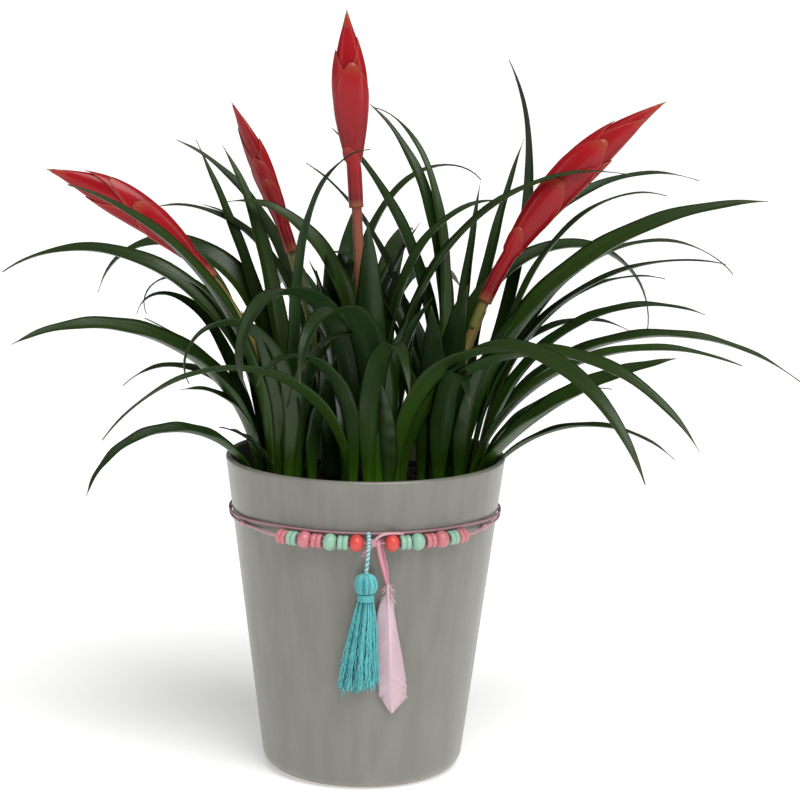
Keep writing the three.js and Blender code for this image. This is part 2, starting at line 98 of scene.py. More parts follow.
class Shape:
    # The points and faces of one piece, gathered part by part.
    # Each point also keeps (across, along, shade) for the material, and how far it is an underside.
    def __init__(self):
        self.points = []
        self.faces = []
        self.strap = []
        self.under = []
        self.slots = []

    def rings(self, rings, strap, under=None, slot=0, closed=False):
        first = len(self.points)
        sides = len(rings[0])
        count = len(rings)
        for i, ring in enumerate(rings):
            self.points.extend(ring)
            self.strap.extend(strap[i])
            self.under.extend(under if under else [0.0] * sides)
        for i in range(count if closed else count - 1):
            here = first + i * sides
            there = first + (i + 1) % count * sides
            for j in range(sides):
                k = (j + 1) % sides
                self.faces.append((here + j, here + k, there + k, there + j))
                self.slots.append(slot)
        if not closed:
            self.faces.append(tuple(first + j for j in reversed(range(sides))))
            self.faces.append(tuple(first + (count - 1) * sides + j for j in range(sides)))
            self.slots.extend((slot, slot))

    def make(self, name, materials):
        mesh = bpy.data.meshes.new(name)
        mesh.from_pydata([tuple(p) for p in self.points], [], self.faces)
        strap = mesh.attributes.new("strap", "FLOAT_VECTOR", "POINT")
        strap.data.foreach_set("vector", [x for place in self.strap for x in place])
        under = mesh.attributes.new("under", "FLOAT", "POINT")
        under.data.foreach_set("value", self.under)
        for material in materials:
            mesh.materials.append(material)
        mesh.polygons.foreach_set("material_index", self.slots)
        mesh.polygons.foreach_set("use_smooth", [True] * len(self.faces))
        mesh.update()
        return addObject(name, mesh)


def finishPiece(piece, slot, *nodes):
    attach(piece, "root")
    if nodes:
        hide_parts(*nodes)
    return piece


def smoothPath(points, steps):
    # A Catmull-Rom curve through the points.
    ends = [points[0] * 2 - points[1]] + list(points) + [points[-1] * 2 - points[-2]]
    path = []
    for i in range(len(points) - 1):
        a, b, c, d = ends[i:i + 4]
        for k in range(steps):
            t = k / steps
            path.append(0.5 * (2 * b + (c - a) * t + (2 * a - 5 * b + 4 * c - d) * t ** 2
                               + (3 * b - a - 3 * c + d) * t ** 3))
    path.append(points[-1].copy())
    return path


def pathFrames(path, closed=False):
    # (point, direction, side, up) along a path, turned as little as possible from point to point.
    count = len(path)
    frames = []
    side = None
    for i, point in enumerate(path):
        before = path[i - 1] if i or closed else path[0]
        after = path[(i + 1) % count] if i < count - 1 or closed else path[-1]
        direction = (after - before).normalized()
        if side is None:
            side = direction.orthogonal().normalized()
        side = (side - direction * side.dot(direction)).normalized()
        frames.append((point, direction, side, direction.cross(side)))
    return frames


def tube(shape, path, radius, sides, shade=0.5, slot=0, closed=False,
         lobes=0, lobeTurns=0, lobeDepth=0.0):
    # radius is a size or a function of the share of the path; lobes give a laid cord its strands.
    rings = []
    strap = []
    last = len(path) - (0 if closed else 1)
    for i, (point, _, side, up) in enumerate(pathFrames(path, closed)):
        share = i / last
        size = radius(share) if callable(radius) else radius
        ring = []
        for j in range(sides):
            angle = 2 * math.pi * j / sides
            reach = size * (1 + lobeDepth * math.cos(lobes * angle - 2 * math.pi * lobeTurns * share))
            ring.append(point + side * (reach * math.cos(angle)) + up * (reach * math.sin(angle)))
        rings.append(ring)
        strap.append([(0.5, share, shade)] * sides)
    shape.rings(rings, strap, slot=slot, closed=closed)


def helix(path, radius, turns, phase=0.0):
    # A path wound round another path.
    wound = []
    last = len(path) - 1
    for i, (point, _, side, up) in enumerate(pathFrames(path)):
        angle = 2 * math.pi * (phase + turns * i / last)
        wound.append(point + side * (radius * math.cos(angle)) + up * (radius * math.sin(angle)))
    return wound


def lathe(shape, outline, sides, place, shade):
    # A solid of revolution from its outline, (radius, height) from the foot up.
    rings = [[place @ point for point in circlePoints(radius, height, sides)] for radius, height in outline]
    last = len(outline) - 1
    strap = [[(0.5, i / last, shade)] * sides for i in range(len(outline))]
    shape.rings(rings, strap)


def arcPoints(radius, height, size, start, end, steps):
    points = []
    for i in range(steps + 1):
        angle = math.radians(mix(start, end, i / steps))
        points.append((radius + size * math.cos(angle), height + size * math.sin(angle)))
    return points


def colour(red, green, blue):
    # A screen colour, 0 to 255, as the shader's linear one.
    def linear(value):
        share = value / 255
        return share / 12.92 if share <= 0.04045 else ((share + 0.055) / 1.055) ** 2.4
    return (linear(red), linear(green), linear(blue), 1.0)


def newGroup(name, inputs, outputs):
    group = bpy.data.node_groups.new(name, "ShaderNodeTree")
    for label, kind, value in inputs:
        socket = group.interface.new_socket(label, in_out="INPUT", socket_type=kind)
        if value is not None:
            socket.default_value = value
    for label, kind in outputs:
        group.interface.new_socket(label, in_out="OUTPUT", socket_type=kind)
    return group, group.nodes.new("NodeGroupInput"), group.nodes.new("NodeGroupOutput")


def joinUp(tree, source, target):
    tree.links.new(source, target)


def setOrJoin(tree, value, socket):
    if isinstance(value, (int, float, tuple)):
        socket.default_value = value
    else:
        joinUp(tree, value, socket)


def mathNode(tree, operation, *values, clamp=False):
    node = tree.nodes.new("ShaderNodeMath")
    node.operation = operation
    node.use_clamp = clamp
    for value, socket in zip(values, node.inputs):
        setOrJoin(tree, value, socket)
    return node.outputs[0]


def joinMask(group, inside, noise, outside):
    # The noise, spread about its middle by the contrast, and as it is.
    centred = mathNode(group, "SUBTRACT", noise, 0.5)
    spread = mathNode(group, "MULTIPLY", centred, inside.outputs["Contrast"])
    joinUp(group, mathNode(group, "ADD", spread, 0.5, clamp=True), outside.inputs["Mask"])
    joinUp(group, noise, outside.inputs["Height"])


def makeMottle():
    # Soft patches over the surface, at a size in metres.
    group, inside, outside = newGroup(
        "mottle",
        [("Size", "NodeSocketFloat", 0.01), ("Contrast", "NodeSocketFloat", 2.0)],
        [("Mask", "NodeSocketFloat"), ("Height", "NodeSocketFloat")],
    )
    place = group.nodes.new("ShaderNodeTexCoord")
    cloud = group.nodes.new("ShaderNodeTexNoise")
    cloud.inputs["Detail"].default_value = 4
    joinUp(group, place.outputs["Object"], cloud.inputs["Vector"])
    joinUp(group, mathNode(group, "DIVIDE", 1.0, inside.outputs["Size"]), cloud.inputs["Scale"])
    joinMask(group, inside, cloud.outputs["Fac"], outside)
    return group


strandShift = 37.0  # how far the noise moves from one leaf or strand to the next


def makeVeins():
    # Fine lines that run the length of a leaf, bract, thread or vane, from the piece's strap values.
    group, inside, outside = newGroup(
        "longVeins",
        [("Lines", "NodeSocketFloat", 20.0), ("Stretch", "NodeSocketFloat", 1.0),
         ("Contrast", "NodeSocketFloat", 2.0)],
        [("Mask", "NodeSocketFloat"), ("Height", "NodeSocketFloat"), ("Across", "NodeSocketFloat"),
         ("Along", "NodeSocketFloat"), ("Shade", "NodeSocketFloat"), ("Under", "NodeSocketFloat")],
    )
    strap = group.nodes.new("ShaderNodeAttribute")
    strap.attribute_name = "strap"
    under = group.nodes.new("ShaderNodeAttribute")
    under.attribute_name = "under"
    parts = group.nodes.new("ShaderNodeSeparateXYZ")
    joinUp(group, strap.outputs["Vector"], parts.inputs[0])
    place = group.nodes.new("ShaderNodeCombineXYZ")
    joinUp(group, mathNode(group, "MULTIPLY", parts.outputs[0], inside.outputs["Lines"]), place.inputs[0])
    joinUp(group, mathNode(group, "MULTIPLY", parts.outputs[1], inside.outputs["Stretch"]), place.inputs[1])
    joinUp(group, mathNode(group, "MULTIPLY", parts.outputs[2], strandShift), place.inputs[2])
    lines = group.nodes.new("ShaderNodeTexNoise")
    lines.inputs["Scale"].default_value = 1.0
    lines.inputs["Detail"].default_value = 3
    joinUp(group, place.outputs[0], lines.inputs["Vector"])
    joinMask(group, inside, lines.outputs["Fac"], outside)
    for i, label in enumerate(("Across", "Along", "Shade")):
        joinUp(group, parts.outputs[i], outside.inputs[label])
    joinUp(group, under.outputs["Fac"], outside.inputs["Under"])
    return group


mottleGroup = makeMottle()
veinsGroup = makeVeins()


class Finish:
    # One material and its shader, with short calls for what the finishes have in common.
    def __init__(self, name, **settings):
        self.material = bpy.data.materials.new(name)
        self.material.use_nodes = True
        self.tree = self.material.node_tree
        self.shader = self.tree.nodes["Principled BSDF"]
        for label, value in settings.items():
            self.shader.inputs[label.replace("_", " ")].default_value = value
        self.material.diffuse_color = (0.5, 0.5, 0.5, 1)

    def group(self, group, **values):
        node = self.tree.nodes.new("ShaderNodeGroup")
        node.node_tree = group
        for label, value in values.items():
            node.inputs[label].default_value = value
        return node.outputs

    def ramp(self, source, stops):
        node = self.tree.nodes.new("ShaderNodeValToRGB")
        while len(node.color_ramp.elements) < len(stops):
            node.color_ramp.elements.new(0.5)
        for element, (place, shade) in zip(node.color_ramp.elements, stops):
            element.position = place
            element.color = shade
        joinUp(self.tree, source, node.inputs["Fac"])
        return node.outputs["Color"]

    def blend(self, share, first, second, kind="MIX"):
        node = self.tree.nodes.new("ShaderNodeMix")
        node.data_type = "RGBA"
        node.blend_type = kind
        for value, socket in ((share, node.inputs[0]), (first, node.inputs[6]), (second, node.inputs[7])):
            setOrJoin(self.tree, value, socket)
        return node.outputs[2]

    def between(self, source, low, high, start=0.0, end=1.0):
        node = self.tree.nodes.new("ShaderNodeMapRange")
        joinUp(self.tree, source, node.inputs["Value"])
        for label, value in (("From Min", start), ("From Max", end), ("To Min", low), ("To Max", high)):
            node.inputs[label].default_value = value
        return node.outputs["Result"]

    def math(self, operation, *values):
        return mathNode(self.tree, operation, *values)

    def paint(self, source):
        joinUp(self.tree, source, self.shader.inputs["Base Color"])

    def dull(self, source, low, high):
        joinUp(self.tree, self.between(source, low, high), self.shader.inputs["Roughness"])

    def relief(self, height, strength, distance):
        node = self.tree.nodes.new("ShaderNodeBump")
        node.inputs["Strength"].default_value = strength
        node.inputs["Distance"].default_value = distance
        joinUp(self.tree, height, node.inputs["Height"])
        joinUp(self.tree, node.outputs["Normal"], self.shader.inputs["Normal"])


def makeGlaze():
    finish = Finish("greyGlaze", IOR=1.5, Coat_Weight=0.25, Coat_Roughness=0.25)
    cloud = finish.group(mottleGroup, Size=0.03, Contrast=1.6)
    speckle = finish.group(mottleGroup, Size=0.0012, Contrast=3.0)
    glaze = finish.blend(cloud["Mask"], colour(120, 119, 111), colour(129, 128, 120))
    # Noise for the painted reflection bands down the pot's sides.
    place = finish.tree.nodes.new("ShaderNodeTexCoord")
    paintedReflectionBands = finish.tree.nodes.new("ShaderNodeTexNoise")
    stretched = finish.tree.nodes.new("ShaderNodeMapping")
    stretched.inputs["Scale"].default_value = (26, 26, 3)  # tall soft bands down the sides
    joinUp(finish.tree, place.outputs["Object"], stretched.inputs["Vector"])
    joinUp(finish.tree, stretched.outputs["Vector"], paintedReflectionBands.inputs["Vector"])
    paintedReflectionShare = finish.between(paintedReflectionBands.outputs["Fac"], 0.0, 0.6, 0.4, 0.7)
    # Painted reflections: the glaze is painted darker in tall soft bands, the shade between streaks of light
    # down the pot.
    glaze = finish.blend(paintedReflectionShare, glaze, colour(110, 109, 100))
    glaze = finish.blend(finish.between(speckle["Mask"], 0.0, 0.12), glaze, colour(102, 100, 93))
    height = finish.tree.nodes.new("ShaderNodeSeparateXYZ")
    joinUp(finish.tree, place.outputs["Object"], height.inputs[0])
    foot = finish.between(height.outputs[2], 1.0, 0.0, 0.0003, 0.0012)  # the bare ring it stands on
    finish.paint(finish.blend(foot, glaze, colour(196, 184, 168)))
    finish.dull(cloud["Mask"], 0.30, 0.40)
    finish.relief(speckle["Height"], 0.06, 0.0004)
    return finish.material


def makePlastic():
    finish = Finish("blackPlastic", IOR=1.48)
    cloud = finish.group(mottleGroup, Size=0.02, Contrast=2.0)
    grain = finish.group(mottleGroup, Size=0.0008, Contrast=2.0)
    finish.paint(finish.blend(cloud["Mask"], colour(26, 27, 29), colour(40, 41, 43)))
    finish.dull(grain["Mask"], 0.42, 0.6)
    finish.relief(grain["Height"], 0.15, 0.0003)
    return finish.material


def makeSoilFinish():
    finish = Finish("darkSoil")
    clods = finish.group(mottleGroup, Size=0.006, Contrast=3.0)
    crumbs = finish.group(mottleGroup, Size=0.0015, Contrast=3.0)
    dark = finish.blend(clods["Mask"], colour(18, 13, 9), colour(44, 32, 22))
    finish.paint(finish.blend(finish.between(crumbs["Mask"], 0.0, 0.5), dark, colour(64, 49, 35)))
    finish.dull(crumbs["Mask"], 0.8, 1.0)
    finish.relief(crumbs["Height"], 0.8, 0.001)
    return finish.material


leafFinish = {
    "base": colour(74, 122, 14),
    "low": colour(46, 84, 7),
    "middle": colour(26, 52, 8),
    "tip": colour(24, 42, 16),
    "dry": colour(80, 74, 46),
    "under": colour(40, 62, 36),
    "pale": colour(42, 74, 22),
    "dark": colour(13, 27, 8),
}


def makeLeafFinish(name, tender):
    # tender leaves, near a plant's middle, stay bright further up.
    finish = Finish(name, IOR=1.45, Specular_IOR_Level=0.35, Coat_Weight=0.12, Coat_Roughness=0.18)
    veins = finish.group(veinsGroup, Lines=26.0, Stretch=2.2, Contrast=2.6)
    broad = finish.group(veinsGroup, Lines=5.0, Stretch=3.0, Contrast=2.2)
    green = finish.ramp(veins["Along"], [
        (0.0, leafFinish["base"]),
        (0.14 + tender, leafFinish["low"]),
        (0.36 + tender, leafFinish["middle"]),
        (0.93, leafFinish["tip"]),
        (0.99, leafFinish["dry"]),
    ])
    green = finish.blend(finish.between(veins["Mask"], 0.0, 0.42), green, leafFinish["pale"])
    green = finish.blend(finish.between(broad["Mask"], 0.0, 0.30), green, leafFinish["dark"])
    shifted = finish.blend(finish.between(veins["Shade"], 0.0, 0.28), green, colour(62, 84, 22))
    underShare = finish.math("MULTIPLY", veins["Under"], finish.between(veins["Along"], 0.0, 0.5, 0.1, 0.5))
    finish.paint(finish.blend(underShare, shifted, leafFinish["under"]))
    finish.dull(veins["Mask"], 0.28, 0.42)
    finish.relief(veins["Height"], 0.5, 0.0005)
    return finish.material


def makeStemFinish():
    finish = Finish("flowerStem", IOR=1.45, Coat_Weight=0.15, Coat_Roughness=0.3)
    veins = finish.group(veinsGroup, Lines=12.0, Stretch=2.0, Contrast=2.4)
    rising = finish.between(veins["Along"], 0.0, 0.4)
    ripe = finish.math("ADD", rising, finish.between(veins["Shade"], -0.5, 0.5))
    red = finish.ramp(ripe, [
        (0.0, colour(104, 116, 48)),
        (0.35, colour(140, 100, 56)),
        (0.6, colour(140, 42, 40)),
        (0.9, colour(118, 20, 28)),
    ])
    finish.paint(finish.blend(finish.between(veins["Mask"], 0.0, 0.3), red, colour(96, 74, 40)))
    finish.dull(veins["Mask"], 0.36, 0.5)
    finish.relief(veins["Height"], 0.4, 0.0004)
    return finish.material


def makeBractFinish():
    finish = Finish("redBract", IOR=1.45, Specular_IOR_Level=0.22, Coat_Weight=0.25, Coat_Roughness=0.13)
    veins = finish.group(veinsGroup, Lines=16.0, Stretch=1.6, Contrast=2.2)
    patches = finish.group(mottleGroup, Size=0.012, Contrast=3.0)
    red = finish.ramp(veins["Along"], [
        (0.0, colour(140, 96, 62)),
        (0.15, colour(112, 10, 14)),
        (0.5, colour(142, 7, 15)),
        (0.86, colour(158, 20, 26)),
        (1.0, colour(156, 66, 42)),
    ])
    red = finish.blend(finish.between(patches["Mask"], 0.0, 0.35), red, colour(170, 20, 32))
    # The bract edges are painted lighter: painted highlights along the rims.
    fromMiddle = finish.math("ABSOLUTE", finish.math("SUBTRACT", veins["Across"], 0.5))
    red = finish.blend(finish.between(fromMiddle, 0.0, 0.4, 0.42, 0.5), red, colour(176, 96, 72))
    topmost = finish.math("MULTIPLY", finish.between(veins["Shade"], 0.0, 1.0, 1.0, 1.1),
                          finish.between(veins["Along"], 0.0, 1.0, 0.80, 1.0))
    red = finish.blend(topmost, red, colour(146, 128, 58))
    finish.paint(finish.blend(finish.between(veins["Mask"], 0.0, 0.22), red, colour(96, 8, 18)))
    finish.dull(veins["Mask"], 0.24, 0.38)
    finish.relief(veins["Height"], 0.35, 0.0004)
    return finish.material


def makePaint(name, main, worn):
    # Satin paint on small turned wooden beads.
    finish = Finish(name, IOR=1.5, Coat_Weight=0.2, Coat_Roughness=0.3)
    grain = finish.group(mottleGroup, Size=0.0018, Contrast=2.0)
    fine = finish.group(mottleGroup, Size=0.0005, Contrast=2.0)
    finish.paint(finish.blend(finish.between(grain["Mask"], 0.0, 0.35), main, worn))
    finish.dull(grain["Mask"], 0.34, 0.5)
    finish.relief(fine["Height"], 0.2, 0.00015)
    return finish.material


def makeThreadFinish(name, dark, light, roughness, sheen):
    finish = Finish(name, Sheen_Weight=sheen, Sheen_Roughness=0.4)
    veins = finish.group(veinsGroup, Lines=4.0, Stretch=60.0, Contrast=2.0)
    fibre = finish.group(mottleGroup, Size=0.0006, Contrast=2.5)
    thread = finish.blend(veins["Shade"], dark, light)
    finish.paint(finish.blend(finish.between(fibre["Mask"], 0.0, 0.35), thread, dark))
    finish.dull(veins["Mask"], roughness, roughness + 0.15)
    finish.relief(fibre["Height"], 0.3, 0.0002)
    return finish.material


def makeFeatherFinish():
    finish = Finish("pinkFeather", Sheen_Weight=0.3, Sheen_Roughness=0.5)
    veins = finish.group(veinsGroup, Lines=3.0, Stretch=30.0, Contrast=2.0)
    cloud = finish.group(mottleGroup, Size=0.009, Contrast=2.0)
    pink = finish.blend(veins["Shade"], colour(196, 180, 196), colour(230, 190, 198))
    finish.paint(finish.blend(finish.between(cloud["Mask"], 0.0, 0.3), pink, colour(204, 184, 194)))
    finish.dull(veins["Mask"], 0.5, 0.7)
    finish.relief(veins["Height"], 0.25, 0.0002)
    return finish.material


materials = {
    "glaze": makeGlaze(),
    "plastic": makePlastic(),
    "soil": makeSoilFinish(),
    "leaf": makeLeafFinish("strapLeaf", 0.0),
    "heart": makeLeafFinish("heartLeaf", 0.10),
    "stem": makeStemFinish(),
    "bract": makeBractFinish(),
    "coral": makePaint("coralPaint", colour(212, 70, 62), colour(196, 58, 54)),
    "mint": makePaint("mintPaint", colour(144, 184, 162), colour(124, 166, 144)),
    "pink": makePaint("pinkPaint", colour(198, 118, 126), colour(184, 100, 110)),
    # The pink cord's dark tone serves for fibre flecks and as painted shade on the upper cord; the light
    # tone is the cord's own pink.
    "cord": makeThreadFinish("pinkCord", colour(118, 82, 90), colour(226, 172, 182), 0.45, 0.1),
    "teal": makeThreadFinish("tealThread", colour(30, 122, 132), colour(112, 216, 216), 0.42, 0.3),
    "white": makeThreadFinish("paleThread", colour(150, 190, 196), colour(206, 222, 224), 0.5, 0.3),
    "ribbon": makeThreadFinish("roseRibbon", colour(170, 102, 118), colour(216, 158, 168), 0.38, 0.2),
    "feather": makeFeatherFinish(),
}
print("materials made")


potSettings = {
    "height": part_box("pot")[1].z,
    "rimRadius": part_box("pot")[1].x,
    "footRadius": 51.5 * mm,
    "footRound": 9 * mm,
    "wall": 3 * mm,
    "floor": 6 * mm,
    "floorRound": 5 * mm,
    "band": 4 * mm,  # the last stretch under the lip
    "sides": 192,
}


def potRadius(height):
    rise = (potSettings["rimRadius"] - potSettings["footRadius"]) * height / potSettings["height"]
    return potSettings["footRadius"] + rise


def makePot():
    wall = potSettings["wall"]
    top = potSettings["height"]
    footRound = potSettings["footRound"]
    lip = wall / 2
    band = potSettings["band"]
    floor = potSettings["floor"]
    floorRound = potSettings["floorRound"]
    outline = [(0.0, 0.0), (20 * mm, 0.0), (38 * mm, 0.0)]
    outline += arcPoints(potSettings["footRadius"] - footRound + mm, footRound, footRound, -90, -8, 14)
    low = outline[-1][1]
    for i in range(1, 16):
        height = mix(low, top - band, i / 15)
        outline.append((potRadius(height), height))
    outline += arcPoints(potSettings["rimRadius"] - lip, top - lip, lip, 0, 180, 12)
    inner = potRadius(floor) - wall
    for i in range(1, 8):
        height = mix(top - band, floor + floorRound, i / 7)
        outline.append((potRadius(height) - wall, height))
    outline += arcPoints(inner - floorRound, floor + floorRound, floorRound, 0, -90, 6)
    outline.append((0.0, floor))
    pot = makeTurned("pot", outline, potSettings["sides"], materials["glaze"])
    finishPiece(pot, "glaze", "pot")


def turnedFaces(rows, sides):
    # The faces of a turned solid: its two end points on the axis come first, then its rings.
    faces = []
    last = 2 + (rows - 1) * sides
    for j in range(sides):
        k = (j + 1) % sides
        faces.append((0, 2 + k, 2 + j))
        faces.append((1, last + j, last + k))
        for i in range(rows - 1):
            here = 2 + i * sides
            there = here + sides
            faces.append((here + j, here + k, there + k, there + j))
    return faces


def makeSolid(name, points, faces, material, smooth):
    mesh = bpy.data.meshes.new(name)
    mesh.from_pydata([tuple(p) for p in points], [], faces)
    mesh.materials.append(material)
    mesh.polygons.foreach_set("use_smooth", [smooth] * len(faces))
    mesh.update()
    return addObject(name, mesh)


def makeTurned(name, outline, sides, material):
    # A turned solid whose outline starts and ends on the axis.
    points = [Vector((0, 0, outline[0][1])), Vector((0, 0, outline[-1][1]))]
    for radius, height in outline[1:-1]:
        points += circlePoints(radius, height, sides)
    return makeSolid(name, points, turnedFaces(len(outline) - 2, sides), material, True)


nurserySettings = {"wall": 1.2 * mm, "bottomRadius": 44 * mm, "sides": 96}


def makeNurseryPot():
    low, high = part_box("nursery_pot")
    wall = nurserySettings["wall"]
    bottom = nurserySettings["bottomRadius"]
    inside = wall + 0.3 * mm
    outline = [(0.0, low.z), (bottom - 2 * mm, low.z), (bottom, low.z + 2 * mm)]
    outline += [(mix(bottom, high.x, t) - 0.2 * mm, mix(low.z, high.z, t)) for t in (0.2, 0.5, 0.8, 0.93)]
    outline += [(high.x, mix(low.z, high.z, 0.94)), (high.x, high.z - 0.6 * mm), (high.x - 0.5 * mm, high.z)]
    outline += [(high.x - inside, high.z), (high.x - inside - 0.1 * mm, high.z - mm)]
    outline += [(mix(bottom, high.x, t) - inside, mix(low.z, high.z, t)) for t in (0.8, 0.5, 0.2, 0.05)]
    outline += [(bottom - 4 * mm, low.z + wall), (0.0, low.z + wall)]
    piece = makeTurned("nurseryPot", outline, nurserySettings["sides"], materials["plastic"])
    finishPiece(piece, "nursery_plastic", "nursery_pot")


soilSettings = {
    "bottomRadius": 42.2 * mm,
    "sideRings": 5,
    "rings": 26,
    "sides": 90,
    "lumps": 0.5 * mm,
    "chips": 150,
    "seed": 11,
}


def addChip(points, faces, centre, size, rng):
    # A crumb of bark: an octahedron pulled out of shape.
    first = len(points)
    for axis in ((1, 0, 0), (-1, 0, 0), (0, 1, 0), (0, -1, 0), (0, 0, 1), (0, 0, -1)):
        reach = size * rng.uniform(0.6, 1.2)
        shift = Vector([rng.uniform(-0.3, 0.3) * size for _ in range(3)])
        points.append(centre + Vector(axis) * reach + shift)
    for a, b, c in ((0, 2, 4), (2, 1, 4), (1, 3, 4), (3, 0, 4), (2, 0, 5), (1, 2, 5), (3, 1, 5), (0, 3, 5)):
        faces.append((first + a, first + b, first + c))


def makeSoil():
    low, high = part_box("soil")
    rng = random.Random(soilSettings["seed"])
    sides = soilSettings["sides"]
    rings = soilSettings["rings"]
    sideRings = soilSettings["sideRings"]
    points = [Vector((0, 0, low.z)), Vector((0, 0, high.z))]
    for i in range(sideRings):
        t = i / (sideRings - 1)
        points += circlePoints(mix(soilSettings["bottomRadius"], high.x, t), mix(low.z, high.z, t), sides)
    for i in range(1, rings):
        radius = high.x * (1 - i / rings)
        for j in range(sides):
            bump = soilSettings["lumps"] * rng.uniform(-1, 1)
            points.append(onCircle(radius, 2 * math.pi * j / sides, high.z + bump))
    faces = turnedFaces(sideRings + rings - 1, sides)
    for _ in range(soilSettings["chips"]):
        angle = rng.uniform(0, 2 * math.pi)
        radius = (high.x - 3 * mm) * math.sqrt(rng.random())
        size = rng.uniform(0.7, 1.9) * mm
        addChip(points, faces, onCircle(radius, angle, high.z + 0.3 * size), size, rng)
    piece = makeSolid("soil", points, faces, materials["soil"], False)
    finishPiece(piece, "soil", "soil")


makePot()
makeNurseryPot()
makeSoil()
print("pot, inner pot and soil made")


leafSettings = {
    "soilTop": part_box("soil")[1].z,
    "plants": {"left": (-40, -6), "back": (-18, 34), "middle": (4, -6), "right": (41, 4)},
    "steps": 48,
    "columns": 10,
    "thickness": 0.9 * mm,
    "channel": 0.34,
    "baseWidth": 0.42,  # a leaf's share of its width where it leaves the stem
    "sway": 0.7 * mm,
    "ripple": 0.3 * mm,
    "stemRadius": 7 * mm,
    "stemHeight": 14 * mm,
    "seed": 5,
}

# plant, base angle, base radius, heading, length, lift, droop, bend, twist, width: degrees and millimetres
singleLeaves = [
    ("left", 188, 17, 191, 174, 93, -25, 0.93, -25, 22),
    ("left", 150, 11, 165, 223, 88, -33, 1.26, -20, 20),
    ("left", 224, 14, 193, 201, 91, 19, 1.14, -25, 19),
    ("left", 110, 15, 158, 207, 90, -74, 2.05, -30, 21),
    ("left", 222, 21, 198, 117, 76, -70, 0.97, -20, 13),
    ("left", 265, 16.5, 215, 149, 92, -122, 2.65, 25, 16),
    ("back", 152, 13, 166, 201, 88, 22, 2.0, -20, 15),
    ("back", 208, 17, 181, 187, 92, -12, 2.25, -20, 13),
    ("back", 100, 15, 105, 200, 75, -45, 1.4, 10, 18),
    ("back", 60, 15, 62, 190, 78, -40, 1.5, -10, 18),
    ("middle", 228, 18, 219, 194, 90, -44, 0.84, 20, 12),
    ("middle", 205, 16, 236, 200, 90, -129, 2.25, 10, 21),
    ("middle", 274, 18.5, 243, 174, 91, -99, 2.25, 10, 22),
    ("middle", 346, 17, 328, 221, 92, -52, 0.85, 15, 18),
    ("middle", 311, 19, 312, 238, 92, -63, 0.93, 20, 18),
    ("right", 340, 11, 357, 235, 89, 4, 0.94, 30, 25),
    ("right", 60, 14.5, 33, 229, 70, 123, 3.1, 10, 11),
    ("right", 352, 18, 6.5, 171, 82, -20, 1.29, 20, 13),
    ("right", 326.5, 15.5, 348, 176, 80, -19, 0.89, 20, 13),
    ("right", 313, 20.5, 344, 132, 68, 17, 0.6, 35, 21),
    ("right", 25, 18, 1, 213, 86, -36, 0.81, 15, 14),
    ("right", 105, 20.5, 28, 256, 81, -18, 1.56, 20, 12),
]

heartLeaves = {
    "left": [
        ("left", 80, 8, 147, 182, 84, 52, 2.6, -20, 14),
        ("left", 320, 7, 337, 193, 90, 5, 5.5, 10, 15),
        ("left", 60, 5, 80, 64, 84, 40, 1.8, 0, 17),
        ("left", 315, 5, 315, 90, 86, 40, 2.0, 0, 18),
    ],
    "back": [
        ("back", 95, 6.5, 118, 180, 82, -20, 1.8, 10, 12),
        ("back", 20, 5, 14, 206, 86, -50, 4.44, 10, 13),
        ("back", 60, 5, 85, 170, 84, 10, 1.8, 0, 17),
        ("back", 250, 5, 250, 115, 88, 60, 2.0, 0, 14),
    ],
    "middle": [
        ("middle", 165, 5, 164, 185, 86, -13, 3.0, -20, 21),
        ("middle", 340, 5, 5, 180, 88, -9, 3.5, 20, 15),
        ("middle", 90, 5, 80, 190, 84, -20, 1.8, 0, 17),
        ("middle", 320, 5, 320, 110, 84, 50, 2.0, 0, 18),
        ("middle", 250, 5, 256, 142, 89, 76, 2.0, 0, 22),
    ],
    "right": [
        ("right", 170, 5, 170, 199, 90, 42, 1.81, -20, 17),
        ("right", 130, 5, 149, 209, 92, 36, 2.69, -20, 14),
        ("right", 78, 9.5, 21, 233, 92, -100, 1.88, 20, 17),
        ("right", 270, 5, 285, 120, 84, 45, 2.0, 0, 18),
        ("right", 140, 5, 128, 170, 80, -10, 1.7, 0, 17),
    ],
}

